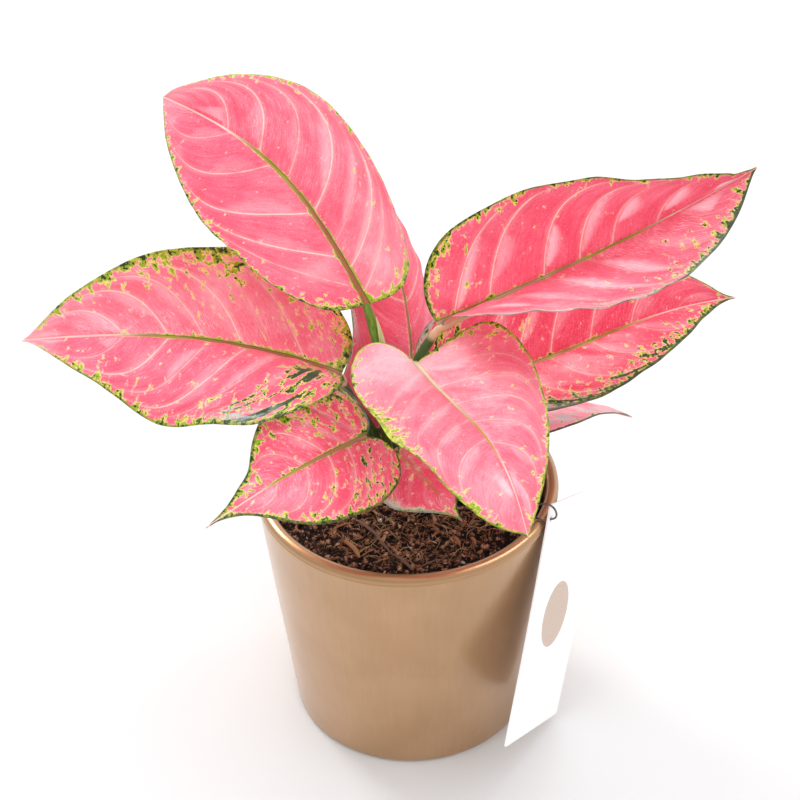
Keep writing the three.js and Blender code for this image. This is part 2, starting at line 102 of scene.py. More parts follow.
# Bits on the soil: start, end, radius, bow, and how much of bark, of straw and of twig is in their colour
SOIL_BITS = (
    ((-25.5, -16), (-12, -34), 0.85, 0.03, 0, 0, 1),
    ((-12.5, -33), (-8, -40), 0.6, -0.06, 0, 0, 1),
    ((-8, -40), (1, -51.5), 0.8, 0.04, 0.2, 0, 0.9),
    ((4, -50), (16, -45), 0.4, 0.06, 0.3, 0, 0.7),
    ((-29.5, -31), (-22.5, -41.5), 1.1, 0.07, 1.1, 0.1, 0),
    ((-36, -24), (-25, -20), 0.45, 0.1, 0.9, 0, 0),
    ((-17, -44), (-8, -42), 0.6, -0.15, 0.7, 0, 0.3),
    ((-27, -35), (-24.5, -30.5), 0.3, 0.03, 0, 1, 0),
    ((-23.5, -39.5), (-18, -35.5), 0.35, 0.02, 0, 1, 0),
    ((-12, -20.5), (-6.5, -17), 0.25, 0.03, 0, 0.7, 0),
    ((-9, -25), (-5.5, -31), 0.25, -0.03, 0, 0.6, 0),
    ((-13, -27), (-11, -22), 0.2, 0.04, 0, 0.7, 0),
    ((-18, -33), (-13, -30), 0.2, 0.03, 0, 0.5, 0),
    ((19, -30), (23, -36), 0.9, 0.12, 0.9, 0, 0),
    ((28, -30), (30, -35), 0.8, 0.1, 0.9, 0, 0),
    ((8, -22), (14, -27), 0.6, 0.1, 0.7, 0, 0),
    ((35, -22), (42, -18), 0.6, 0.15, 0.6, 0, 0.2),
    ((35, 10), (46, 20), 0.9, 0.05, 0.1, 0, 0.8),
    ((-20, 38), (-6, 46), 0.8, -0.08, 0.9, 0, 0),
    ((12, 40), (24, 34), 0.4, 0.2, 0, 0.8, 0),
    ((-45, 12), (-38, 24), 0.7, 0.1, 0.2, 0, 0.7),
)

# Perlite grains: x, y and size
PERLITE = (
    (-13, -19, 0.9), (10, -12, 0.8), (24, -47, 0.9), (-38, -16, 0.5), (1, -37, 0.5), (40, 6, 0.9),
    (-30, 28, 1.0), (8, 30, 0.8), (-8, 50, 0.9), (30, 38, 0.7), (-48, 2, 0.8),
)
PERLITE_FLATNESS = 0.85

# Cane
CANE_X = -5
CANE_Y = 2
CANE_RADIUS = 11
CANE_FOOT = 92
CANE_TOP = 124
CANE_GAP = (0.5, 0.3)
CANE_SCARS = 5
CANE_SHOULDER = 3
CANE_STEPS = 36

# Stalks: STALK_RADII are (part of the way to the blade, radius), and STALK_SUNK is how deep a stalk's middle
# lies under the midrib, from the blade's base to its end
STALK_FOOT = 112
STALK_RADII = ((0, 5.2), (0.35, 3.4), (0.92, 2.3), (1, 1.9))
STALK_END_RADIUS = 0.7
STALK_SUNK = (2.1, 1.1)
STALK_UNDER_BLADE = (0.02, 0.16)
STALK_SET_BACK = 1.0
STALK_STEPS = 44
STALK_END_STEPS = 10
STALK_SIDES = 24

# New leaf, rolled into a spear
SPEAR_FOOT = (-7, 6, 140)
SPEAR_BEND = (-6, 8, 190)
SPEAR_TIP = (-12, 9, 215.5)
SPEAR_RADIUS = 2.8
SPEAR_TIP_RADIUS = 0.25
SPEAR_STEPS = 40

# Leaf blades, shaped like the solids but a little thinner, and thinnest at the margin
BLADE_THICKNESS = 0.8
MARGIN_THICKNESS = 0.4
MARGIN_TAPER = 12
RIB_DEPTH = 2.0
RIB_TIP_DEPTH = 0.3
RIB_HALF_WIDTH = 1.9
RIB_TIP_HALF_WIDTH = 0.35
OUTLINE_SPLIT = 0.45
LOBE_PULL = (1.5, 0.9)
BASE_FULLNESS = 0.05
NOTCH_OPENING = 0.15
TIP_SLIMNESS = 0.1
TWIST_CENTRE = 0.4
WAVES = 3
WAVE_OFFSET = 0.3
ROW_CROWDING = 1.6
ROW_SWEEP = 0.7
COLUMN_CROWDING = 0.9
BLADE_ROWS = 150
BLADE_COLUMNS = 42
OUTLINE_SAMPLES = 320
BULGE_ROW_LENGTH = 14

# Side veins curve forward to run along the margin. VEIN_BOW is how far, as a part of half the width, and
# VEIN_FAN are the (place, strength) of the veins that fan out from the base.
VEIN_BOW = 0.45
VEIN_REACH = 0.97
VEIN_FAN = ((-0.3, 0.1), (-0.14, 0.3))
VEIN_END = (1.05, 0)
VEIN_PROBE = 0.004
VEIN_DEPTH = 0.32
VEIN_HALF_WIDTH = 0.9
QUILT_HEIGHT = 0.5
PUCKER_HEIGHT = 0.3
PUCKER_LENGTHS = (9, 22)
CHANNEL_DEPTH = 0.7
MARGIN_WAVE = 0.35
MARGIN_WAVE_LENGTHS = (9, 20)
MARGIN_WAVE_REACH = 9

# Painted gloss, a pale highlight painted beside the side veins where the blade swells: the spans that each
# one's place between midrib and margin, its reach and its strength are drawn from
PAINTED_GLOSS_SPANS = ((0.3, 0.6), (0.2, 0.42), (0.3, 1.0))

# Layers in the materials' noise, so that no two leaves or halves are alike
LEAF_LAYER = 60
HALF_LAYER = 25
STALK_LAYER = 9
CANE_LAYER = 200
SPEAR_LAYER = 300

# Card tag and its wire. CARD_HOLE is across, down and radius, and the wire's route is radius, angle, height.
CARD_CORNER = (64, -31, 138)
CARD_WIDTH = 68
CARD_HEIGHT = 116
CARD_THICKNESS = 0.7
CARD_ROUNDING = 1.5
CARD_FACING = 63
CARD_LEAN = -2
CARD_HANG = -29
CARD_HOLE = (3.5, 7, 1.3)
CARD_CELL = 2
CARD_BOW = 0.9
CARD_SET_BACK = 0.2
DISC_PLACE = (34, -58)
DISC_RADIUS = 16.05
NO_DISC = 100
WIRE_RADIUS = 0.45
WIRE_SIDES = 12
WIRE_STEPS = 8
WIRE_ROUTE = (
    (70.1, -28.6, 129.2), (68.9, -28.5, 130.3), (67.0, -28.4, 130.8), (64.8, -28.3, 130.6),
    (62.2, -28.2, 131.4), (61.2, -28.0, 134.0), (63.0, -27.8, 136.8), (67.0, -27.6, 138.6),
    (70.6, -27.3, 139.6), (73.4, -27.0, 138.0), (74.6, -26.7, 134.6), (73.8, -26.4, 131.8),
    (72.4, -26.2, 130.5), (70.9, -26.1, 129.7),
)

# Floor and light. The room's ramp goes from one side to the other and from dim to bright. Softboxes are name,
# place, target, size, power, and whether they only show in gloss.
FLOOR_REACH = 3000
BRIGHT_SIDE = (0.2, 0.6, 0.77)
ROOM_RAMP = (-0.3, 0.9, 0.75, 1.3)
SOFTBOXES = (
    ("key", (-800, 800, 1250), (0, 0, 150), (450, 450), 7, False),
    ("second", (750, 500, 1400), (0, 0, 150), (350, 350), 1.5, False),
    ("front", (300, -1300, 900), (0, 0, 100), (700, 500), 4, False),
    ("sheen_left", (-800, 800, 1150), (0, 0, 180), (800, 800), 22, True),
    ("sheen_right", (850, 150, 1300), (0, 0, 180), (900, 900), 10, True),
)

# Leaf colours
CORAL = (0.90, 0.075, 0.15)
ROSE = (0.965, 0.16, 0.25)
CRIMSON = (0.74, 0.03, 0.08)
BLUSH = (1.0, 0.50, 0.56)
CREAM = (0.97, 0.66, 0.60)
# Pale pink of the painted gloss, a highlight painted beside the side veins
PAINTED_GLOSS_TONE = (1.0, 0.66, 0.72)
LIME = (0.33, 0.45, 0.014)
YELLOW = (0.88, 0.82, 0.13)
LEAF_GREEN = (0.27, 0.38, 0.012)
YELLOW_GREEN = (0.66, 0.70, 0.06)
HAIRLINE_GREEN = (0.08, 0.13, 0.008)
DARK_GREEN = (0.015, 0.045, 0.003)
BROWN_PINK = (0.40, 0.13, 0.05)
OLIVE = (0.42, 0.33, 0.03)
DARK_OLIVE = (0.13, 0.12, 0.015)
PALE_RIB = (0.72, 0.60, 0.42)
# Grey of the painted glare on the leaves' margins
GLARE_GREY = (0.56, 0.62, 0.62)
UNDERSIDE = (0.80, 0.42, 0.40)
LEAF_GLOW = (1.0, 0.35, 0.25)

# Other colours, where a pair is a dark and a light tone
STALK_GREENS = ((0.07, 0.18, 0.015), (0.26, 0.40, 0.05))
# Near-black greens of the painted shade on the stalks
STALK_SHADE_TONES = ((0.012, 0.03, 0.01), (0.05, 0.10, 0.035))
SHEATH_TONES = ((0.50, 0.58, 0.18), (0.86, 0.82, 0.48))
STALK_END_TONES = ((0.58, 0.33, 0.17), (0.82, 0.57, 0.38))
STALK_PATCH = (0.30, 0.34, 0.10)
STALK_GLOW = (0.6, 1.0, 0.2)
BRONZE_TONES = ((0.465, 0.27, 0.13), (0.515, 0.31, 0.16))
BRONZE_FLECK = (0.66, 0.46, 0.29)
BRONZE_LIP = (0.43, 0.235, 0.105)
SOIL_TONES = ((0.012, 0.006, 0.004), (0.46, 0.205, 0.10))
# Painted glint on the soil's highest tops and on its palest crumbs
SOIL_GLINT = (0.86, 0.56, 0.36)
BARK_TONES = ((0.40, 0.16, 0.06), (0.80, 0.42, 0.20))
STRAW = (0.60, 0.50, 0.20)
TWIG_TONES = ((0.11, 0.055, 0.04), (0.42, 0.25, 0.19))
PERLITE_TONES = ((0.45, 0.40, 0.36), (0.88, 0.86, 0.82))
PAPER_TONES = ((0.93, 0.925, 0.91), (0.97, 0.965, 0.955))
INK_TONES = ((0.58, 0.45, 0.365), (0.64, 0.505, 0.42))
WIRE_TONES = ((0.045, 0.045, 0.04), (0.17, 0.16, 0.12))
FLOOR_TONE = (0.80, 0.804, 0.815)

# Each leaf: base and tip of its midrib, then as pairs for its left and right half, seen from above with the
# tip ahead: width (halves), lobe, widest place, shoulder beyond it, fold beside the midrib, and curl from
# there to the margin. Point is how far its tip is drawn out, roll turns it about its length, and twist turns
# its tip against its base. Arch and sweep bend the midrib up and to the right, as parts of its length, a skew
# over 1 moves the arch towards the tip, and wave is the height of the margin's waves. Angles are in degrees.
# Foot is where its stalk stands on the cane, rise, run_in and angle shape the stalk's curve, stalk_dark is
# how much painted shade darkens the stalk, and stalk_blush tints its end.
# Looks: veins are the (place on the midrib, strength) of the side veins of each half, and quilt is how much
# the blade swells between them. As pairs for the two halves: edge is the width of the mottled margin in
# millimetres, rim is how dark its outer line is, and below 0 it thins the dark dots too, pale and worn whiten
# in clouds and in fine streaks, and bands is the strength of the painted gloss, a pale highlight painted
# beside the side veins. Deep reddens the leaf, freckles is how spotted it is, rib is how brown its midrib is,
# rib_show is how much that differs from the blade, rib_size is its width against the ridge below it, and
# tip_pale bleaches the tip.
# Zones are (side, along, out, reach along, reach out, strength): patches have more spots, strips are dark
# along the veins, margins widen the mottled margin, lights are painted highlights that whiten like pale, and
# silver parts are a painted grey glare.
# Bulges are (side, along, reach, outward shift) of the outline in millimetres.
LEAF_DEFAULTS = dict(
    lobe=(0.07, 0.07), skew=1, sweep=0, wave=0, quilt=0.5, pale=(0, 0), deep=0, rib_show=1, rib_size=0.8,
    tip_pale=0, patches=(), strips=(), margins=(), lights=(), silver=(), bulges=(),
    stalk_dark=1, stalk_blush=1,
)
# Looks that the material is told as they are, for each half and for the whole leaf
HALF_LOOKS = ("rim", "worn")
WHOLE_LOOKS = ("deep", "rib", "rib_show", "tip_pale")
LEAVES = []


def add_leaf(name, **facts):
    LEAVES.append(dict(LEAF_DEFAULTS, name=name, **facts))


def both(value):
    return value, value


add_leaf(
    "leaf_top_left", base=(-16, 12, 221), tip=(-105, 80, 289), halves=(45, 48),
    lobe=(0, 0.02), widest=(0.45, 0.45), shoulder=(0.35, 0.35), point=0.05,
    roll=25, fold=(22, 10), curl=(-10, -60), twist=35, arch=0.09, skew=1.3, sweep=0.08, wave=1,
    foot=(-3, 4), rise=40, run_in=30, angle=30, stalk_dark=0.1, stalk_blush=0,
    veins=(((0.05, 0.5), (0.17, 0.9), (0.34, 0.9), (0.55, 0.6), (0.73, 0.4), (0.87, 0.15)),
           ((0.03, 0.6), (0.12, 1), (0.22, 0.3), (0.34, 1), (0.48, 0.5), (0.61, 0.8), (0.74, 0.6))),
    quilt=0.7, edge=(1.0, 0.9), rim=(0.3, -1.0), pale=(0, 0.1), worn=(0, 0.35), bands=(0.3, 0.6),
    deep=0.08, freckles=-0.55, rib=1, rib_size=0.85, tip_pale=0.8,
    patches=((0, 0.55, 1, 0.4, 0.12, 0.8), (1, 0.6, 0.95, 0.35, 0.12, 0.9),
             (1, -0.02, 0.8, 0.08, 0.5, 0.8), (0, 0, 0.3, 0.1, 0.4, 1.0), (1, 0.3, 0.6, 0.1, 0.15, 1.1),
             (1, -0.02, 0.95, 0.1, 0.15, 1.2), (0, 0, 0.9, 0.12, 0.3, 1.1)),
    margins=((1, -0.02, 1, 0.09, 1, 3.6), (0, 0, 1, 0.1, 1, 1.0)),
    lights=((1, 0.1, 0.5, 0.13, 0.5, 0.5), (0, 0.17, 0.4, 0.04, 0.3, 0.4)),
    bulges=((0, 0.9, 0.1, 1.4), (1, 0.8, 0.14, -2.2), (1, 0.42, 0.28, -4), (1, 0.97, 0.03, 1.5)),
)
add_leaf(
    "leaf_left", base=(-28, 0, 191), tip=(-165, -12, 223), halves=(51, 48),
    lobe=(0, 0), widest=(0.46, 0.34), shoulder=(0.28, 0.34), point=0.08,
    roll=2, fold=(18, 20), curl=(-55, 17), twist=25, arch=0.03, skew=0.8, sweep=0.06, wave=1,
    foot=(-4, 1), rise=42, run_in=18, angle=62,
    veins=(((0.08, 0.2), (0.19, 0.3), (0.30, 0.8), (0.42, 0.5), (0.55, 0.9), (0.69, 0.4), (0.84, 0.1)),
           ((0.12, 0.7), (0.22, 0.3), (0.32, 1), (0.44, 0.6), (0.55, 0.9), (0.69, 0.7), (0.85, 0.1))),
    quilt=0.8, edge=(1.8, 2.2), rim=(0.3, 0.1), pale=(0, 0.25), worn=(0.25, 0.8), bands=(0.5, 0.4),
    deep=0.05, freckles=-0.05, rib=1, rib_size=1.05, tip_pale=0.9,
    patches=((1, 0.45, 0.9, 0.3, 0.25, 0.8), (1, 0.1, 0.6, 0.12, 0.5, 0.5), (0, 0.1, 0.5, 0.1, 0.3, 1.0),
             (0, 0.5, 1, 0.25, 0.15, 0.6), (1, 0.35, 0.75, 0.15, 0.2, 0.8),
             (0, 0.22, 0.75, 0.15, 0.25, 1.0)),
    strips=((0, 0.1, 0.45, 0.08, 0.2, 1.3), (0, 0.22, 0.85, 0.14, 0.14, 1.3),
            (1, 0.06, 0.6, 0.06, 0.4, 0.3)),
    margins=((1, 0.35, 1, 0.22, 1, 2.6), (0, 0.3, 1, 0.2, 1, 1.0)),
    lights=((1, 0.35, 0.6, 0.2, 0.3, 0.3),), silver=((0, 0.3, 0.9, 0.1, 0.07, 0.9),),
    bulges=((0, 0.62, 0.12, 1.8), (0, 0.9, 0.06, 1.5), (1, 0.86, 0.1, 1.6), (0, 0.22, 0.1, 0.9),
            (1, -0.02, 0.05, 3.6)),
)
add_leaf(
    "leaf_lower_left", base=(-18, -22, 173), tip=(-86, -76, 169), halves=(32, 31),
    lobe=(0.12, 0.12), widest=(0.4, 0.33), shoulder=(0.36, 0.3), point=0.3,
    roll=19, fold=(12, 3), curl=(-28, 20), twist=-30, arch=0.16, sweep=-0.05, wave=0.5,
    foot=(-4, -3), rise=30, run_in=14, angle=40,
    veins=(((0.03, 0.5), (0.16, 0.6), (0.3, 0.7), (0.45, 0.5), (0.62, 0.4), (0.8, 0.1)),
           ((0.03, 0.5), (0.16, 0.6), (0.3, 0.8), (0.45, 0.5), (0.62, 0.4), (0.8, 0.1))),
    quilt=0.8, edge=(2.0, 2.2), rim=(0.65, 0.45), worn=(0.4, 0.7), bands=(0.4, 0.4),
    deep=0.05, freckles=0.05, rib=0.8, rib_size=0.6,
    patches=((0, 0.25, 0.7, 0.3, 0.3, 1.1), (1, 0.1, 0.7, 0.25, 0.35, 1.3),
             (1, 0.6, 0.55, 0.15, 0.3, -0.4), (0, 0.65, 0.4, 0.15, 0.3, -0.6),
             (1, 0.4, 0.75, 0.15, 0.2, 1.2), (1, 0.25, 0.4, 0.08, 0.2, 1.2)),
    strips=((1, 0.1, 0.9, 0.3, 0.12, 0.7), (0, 0.1, 0.4, 0.12, 0.25, 0.6)),
    margins=((1, 0.1, 1, 0.3, 1, 0.8), (1, 0.6, 1, 0.25, 1, 1.0), (0, 0.6, 1, 0.3, 1, 0.5)),
    silver=((1, 0, 0.95, 0.15, 0.06, 0.6),),
    bulges=((0, 0.92, 0.06, 1.6), (1, 0.3, 0.12, 1.4), (1, 0.72, 0.08, -1.5)),
)
add_leaf(
    "leaf_centre_front", base=(5, -15, 208), tip=(48, -116, 194), halves=(40, 36),
    lobe=(0, 0.19), widest=(0.25, 0.42), shoulder=(0.25, 0.6), point=0.04,
    roll=10, fold=(19, 0), curl=(38, -5), twist=18, arch=0.11, skew=1.6, sweep=-0.01, wave=0.5,
    foot=(2, -4), rise=50, run_in=22, angle=60,
    veins=(((0.05, 0.3), (0.18, 0.4), (0.32, 0.5), (0.46, 0.5), (0.6, 0.5), (0.75, 0.2)),
           ((0.05, 0.2), (0.16, 0.3), (0.3, 0.4), (0.44, 0.5), (0.58, 0.5), (0.74, 0.2))),
    edge=(1.1, 1.0), rim=(0.1, -0.4), pale=(0.22, 0.26), worn=(0.25, 0.2), bands=(0.5, 0.45),
    freckles=-0.4, rib=0, rib_show=0.85, rib_size=0.6,
    patches=((1, 0.2, 0.95, 0.25, 0.2, 0.9), (0, 0.1, 0.9, 0.15, 0.25, 0.8),
             (0, 0.85, 0.8, 0.15, 0.4, 0.8), (1, 0.3, 0.75, 0.1, 0.2, 0.8)),
    margins=((1, 0.42, 1, 0.16, 1, 3.4), (0, 0.1, 1, 0.18, 1, 1.5), (1, 0.85, 1, 0.08, 1, 2.0)),
    lights=((1, -0.05, 0.5, 0.16, 0.7, 1.0), (0, 0.02, 0.4, 0.12, 0.5, 0.8),
            (1, 0.82, 0.4, 0.05, 0.14, 1.2), (0, 0.8, 0.2, 0.05, 0.12, 0.9)),
    bulges=((1, 0.48, 0.13, 3.2), (1, -0.02, 0.12, 1.3)),
)
add_leaf(
    "leaf_upper_right", base=(15, -5, 221), tip=(153, 20, 281), halves=(40, 48),
    lobe=(0.01, -0.05), widest=(0.37, 0.37), shoulder=(0.28, 0.37), point=0.08,
    roll=-30, fold=(42, 41), curl=(7, 7), twist=-73, arch=0, sweep=0.02, wave=1,
    foot=(4, -1), rise=55, run_in=30, angle=30,
    veins=(((0.05, 0.8), (0.16, 1), (0.33, 0.9), (0.44, 0.8), (0.54, 0.7), (0.68, 0.6), (0.84, 0.2)),
           ((0.08, 0.3), (0.2, 0.3), (0.33, 0.3), (0.46, 0.3), (0.6, 0.3), (0.75, 0.2))),
    quilt=1.3, edge=(1.3, 0.9), rim=(0.5, 0.9), pale=(0.08, 0.15), worn=(0.15, 0.9), bands=(1.5, 0.8),
    deep=0.15, freckles=-0.45, rib=0.6,
    patches=((0, 0.03, 0.9, 0.15, 0.25, 1.1), (1, 0.85, 1, 0.2, 0.3, 1.1), (0, 0.25, 0.95, 0.1, 0.2, 1.1),
             (0, 0.14, 0.3, 0.05, 0.3, 1.0), (1, 0.7, 0.7, 0.1, 0.2, 0.8)),
    strips=((1, 0.5, 0.9, 0.25, 0.1, 0.4),),
    margins=((0, 0.02, 1, 0.14, 1, 2.6), (1, 0.85, 1, 0.14, 1, 1.8)),
    silver=((1, 0.35, 0.98, 0.4, 0.05, 0.8),),
    bulges=((0, 0.57, 0.05, 2.2), (0, 0.71, 0.05, -1.0), (0, 0.86, 0.05, 1.6), (0, 0.945, 0.02, -1.6),
            (1, 0.88, 0.08, 1.2)),
)
add_leaf(
    "leaf_middle_right", base=(18, 8, 176), tip=(150, 25, 210), halves=(48, 38),
    lobe=(0.1, 0.07), widest=(0.37, 0.42), shoulder=(0.36, 0.3), point=0.16,
    roll=-12, fold=(25, 21), curl=(-2, -19), twist=-19, arch=0.08, skew=1.7, sweep=0.05, wave=1,
    foot=(4, 3), rise=35, run_in=18, angle=40,
    veins=(((0.1, 0.5), (0.24, 0.8), (0.36, 0.8), (0.5, 0.7), (0.64, 0.6), (0.8, 0.2)),
           ((0.1, 0.4), (0.24, 0.5), (0.36, 0.5), (0.5, 0.5), (0.64, 0.4), (0.8, 0.2))),
    quilt=0.9, edge=(0.8, 3.0), rim=(0.4, 0.8), worn=(0.15, 0.4), bands=(0.6, 0.3),
    deep=0.5, freckles=-0.2, rib=0.7, rib_size=0.7,
    patches=((1, 0.6, 0.85, 0.3, 0.25, 1.0), (1, 0.25, 0.85, 0.2, 0.3, 1.0),
             (0, 0.02, 0.7, 0.1, 0.5, 1.5), (0, 0.3, 0.4, 0.08, 0.2, 0.9)),
    strips=((1, 0.45, 0.92, 0.35, 0.1, 0.7), (0, 0.02, 0.7, 0.1, 0.5, 0.8)),
    silver=((1, 0.25, 0.93, 0.2, 0.08, 0.6), (0, -0.05, 0.97, 0.1, 0.06, 0.9)),
    bulges=((0, 0.9, 0.07, 1.6), (1, 0.4, 0.2, -1.2)),
)
add_leaf(
    "leaf_low_right", base=(34, 12, 149), tip=(105, 18, 149), halves=(22, 22),
    widest=(0.38, 0.38), shoulder=(0.34, 0.34), point=0.17,
    roll=24, fold=(8, 8), curl=(-46, -46), twist=0, arch=0.1, skew=1.2,
    foot=(4, 1), rise=24, run_in=14, angle=20,
    veins=both(((0.15, 0.6), (0.35, 0.6), (0.55, 0.5), (0.75, 0.3))),
    edge=(0.6, 1.8), rim=(0.5, 1), pale=(0.6, 0.5), worn=(0.9, 0.9), bands=(0.8, 0.8),
    deep=0.1, freckles=-0.6, rib=0.3, rib_show=0.6,
    margins=((0, 0.97, 1, 0.08, 1, 1.2), (1, 0.97, 1, 0.08, 1, 1.2)),
    silver=((0, 0.5, 0.95, 0.9, 0.45, 0.9), (1, 0.6, 0.75, 0.9, 0.2, 0.9)),
)
add_leaf(
    "leaf_back", base=(3, 28, 159), tip=(-22, 85, 256), halves=(35, 33),
    widest=(0.32, 0.38), shoulder=(0.33, 0.34), point=0.16,
    roll=-22, fold=(13, -12), curl=(-20, -33), twist=-9, arch=0.1, skew=0.9,
    foot=(2, 4), rise=26, run_in=14, angle=20,
    veins=(((0.1, 0.1), (0.25, 0.15), (0.36, 0.7), (0.55, 0.3), (0.7, 0.2)),
           ((0.1, 0.1), (0.25, 0.15), (0.36, 0.8), (0.55, 0.3), (0.7, 0.2))),
    quilt=0.4, edge=(1.0, 1.0), rim=(0.5, 0.5), worn=(0.05, 0.05), bands=(0, 0),
    freckles=-0.6, rib=1, rib_show=0.8, rib_size=0.5,
    silver=((0, 0.35, 0.97, 0.2, 0.05, 0.7),), bulges=((0, 0.07, 0.13, 18), (1, 0.6, 0.3, -3)),
)
add_leaf(
    "leaf_low_front", base=(-4, -16, 160), tip=(24, -48, 144), halves=(15, 20),
    widest=(0.37, 0.37), shoulder=(0.33, 0.24), point=0.25,
    roll=-30, fold=(13, 10), curl=(-14, -20), twist=4, arch=0.09, skew=1.1,
    foot=(1, -4), rise=28, run_in=8, angle=70,
    veins=both(((0.12, 0.1), (0.3, 0.1), (0.48, 0.1), (0.66, 0.1))),
    edge=(1.0, 2.2), rim=(0.5, 0.4), worn=(0.8, 0.8), bands=(0.2, 0.2),
    deep=0.4, freckles=-0.3, rib=0.5, rib_show=0.2,
    silver=((1, 0.35, 0.97, 0.5, 0.12, 0.9),),
)


def unit(v):
    return v / np.linalg.norm(v, axis=-1, keepdims=True)


def smooth(low, high, value):
    t = np.clip((value - low) / (high - low), 0, 1)
    return t * t * (3 - 2 * t)


def hump(distance, reach):
    """1 at a place, and less the further off."""
    return np.exp(-(distance / reach) ** 2)


def turned(a, b, angle):
    """Two directions turned together, the first towards the second."""
    return a * math.cos(angle) + b * math.sin(angle), b * math.cos(angle) - a * math.sin(angle)


def in_scene(name, data):
    """An object with this data, linked to the scene."""
    made = bpy.data.objects.new(name, data)
    bpy.context.scene.collection.objects.link(made)
    return made


# Camera

def make_camera():
    right, away, above = np.eye(3)
    back, up = turned(-away, above, math.radians(CAMERA_ELEVATION))
    yaw, pitch = (math.atan((pixel - FRAME_PIXELS / 2) / FOCAL_PIXELS) for pixel in CAMERA_AIM_PIXEL)
    forward, _ = turned(-back, up, pitch)
    forward, _ = turned(forward, right, -yaw)
    right = unit(np.cross(forward, np.cross(right, forward)))
    right, up = turned(right, np.cross(right, forward), math.radians(CAMERA_ROLL))
    place = (np.array(CAMERA_AIM) + back * CAMERA_DISTANCE) * MM
    data = bpy.data.cameras.new("camera")
    data.sensor_width = SENSOR
    data.lens = SENSOR * FOCAL_PIXELS / FRAME_PIXELS
    data.clip_start = CLIP_START
    columns = [*right, 0, *up, 0, *(-forward), 0, *place, 1]
    camera = in_scene("camera", data)
    camera.matrix_world = Matrix([columns[i::4] for i in range(4)])
    bpy.context.scene.camera = camera


make_camera()


# Meshes and their attributes

def new_object(name, points, faces, material, attributes=None):
    """A mesh object from points in millimetres, with named float or vector attributes on its points."""
    mesh = bpy.data.meshes.new(name)
    mesh.from_pydata((np.asarray(points) * MM).tolist(), [], faces)
    for key, values in (attributes or {}).items():
        values = np.asarray(values, np.float32)
        if values.ndim == 1:
            mesh.attributes.new(key, "FLOAT", "POINT").data.foreach_set("value", values)
        else:
            mesh.attributes.new(key, "FLOAT_VECTOR", "POINT").data.foreach_set("vector", values.ravel())
    mesh.polygons.foreach_set("use_smooth", [True] * len(mesh.polygons))
    mesh.materials.append(material)
    mesh.update()
    return in_scene(name, mesh)


def facet(piece):
    piece.data.polygons.foreach_set("use_smooth", [False] * len(piece.data.polygons))


class Parts:
    """Gathers several closed forms in one mesh. What a form doesn't say of its attributes is 0."""

    def __init__(self, *keys):
        self.points = []
        self.faces = []
        self.count = 0
        self.attributes = {key: [] for key in keys}

    def add(self, points, faces, **attributes):
        points = np.asarray(points, float)
        self.points.append(points)
        self.faces += [[i + self.count for i in face] for face in faces]
        self.count += len(points)
        for key, values in self.attributes.items():
            given = np.asarray(attributes.get(key, 0), float)
            if given.ndim == 0:
                given = np.full(len(points), float(given))
            values.append(given)

    def make(self, name, material):
        joined = {key: np.concatenate(values) for key, values in self.attributes.items()}
        return new_object(name, np.concatenate(self.points), self.faces, material, joined)


def circle(radius, sides):
    angles = [2 * math.pi * k / sides for k in range(sides)]
    return [(radius * math.cos(a), radius * math.sin(a)) for a in angles]


def arc(centre, radius, start, end, steps):
    angles = np.radians(np.linspace(start, end, steps))
    return [(centre[0] + radius * math.cos(a), centre[1] + radius * math.sin(a)) for a in angles]


def tube_faces(rings, sides):
    """Faces of a tube of rings, closed by a fan at each end. Its last two points are the ends' middles."""
    faces = []
    for i in range(rings - 1):
        for k in range(sides):
            a, b = i * sides + k, i * sides + (k + 1) % sides
            faces.append((a, b, b + sides, a + sides))
    first, last = rings * sides, rings * sides + 1
    top = (rings - 1) * sides
    for k in range(sides):
        faces.append((first, (k + 1) % sides, k))
        faces.append((last, top + k, top + (k + 1) % sides))
    return faces


def distances(path):
    """Length of the path up to each of its points."""
    return np.concatenate([[0], np.cumsum(np.linalg.norm(np.diff(path, axis=0), axis=1))])


def swept(path, start_normal, radius_at, sides):
    """A tube along a path, whose normals turn no more than the path does.

    radius_at takes the part of its length and the angle from the normal, which come back for each point.
    """
    tangents = unit(np.gradient(path, axis=0))
    normal = np.array(start_normal, float)
    normals = []
    for tangent in tangents:
        normal = unit(normal - tangent * normal.dot(tangent))
        normals.append(normal)
    normals = np.array(normals)
    sideways = np.cross(tangents, normals)
    steps = distances(path)
    t, angle = np.meshgrid(steps / steps[-1], np.arange(sides) * 2 * np.pi / sides, indexing="ij")
    around = np.cos(angle)[..., None] * normals[:, None] + np.sin(angle)[..., None] * sideways[:, None]
    rings = path[:, None] + radius_at(t, angle)[..., None] * around
    points = np.concatenate([rings.reshape(-1, 3), path[:1], path[-1:]])
    along = np.concatenate([t.ravel(), [0, 1]])
    turn = np.concatenate([angle.ravel(), [0, 0]])
    return points, tube_faces(len(path), sides), along, turn


def noise_place(x, y, layer):
    """Places for a material's noise, on a layer of their own."""
    return np.stack([x, y, np.full(x.shape, float(layer))], -1)


# Materials

class Value:
    """A number, place or colour from a node. Numbers can be added, subtracted and multiplied."""

    def __init__(self, graph, socket):
        self.graph = graph
        self.socket = socket

    def __add__(self, other):
        return self.graph.math("ADD", self, other)

    def __sub__(self, other):
        return self.graph.math("SUBTRACT", self, other)

    def __rsub__(self, other):
        return self.graph.math("SUBTRACT", other, self)

    def __mul__(self, other):
        return self.graph.math("MULTIPLY", self, other)


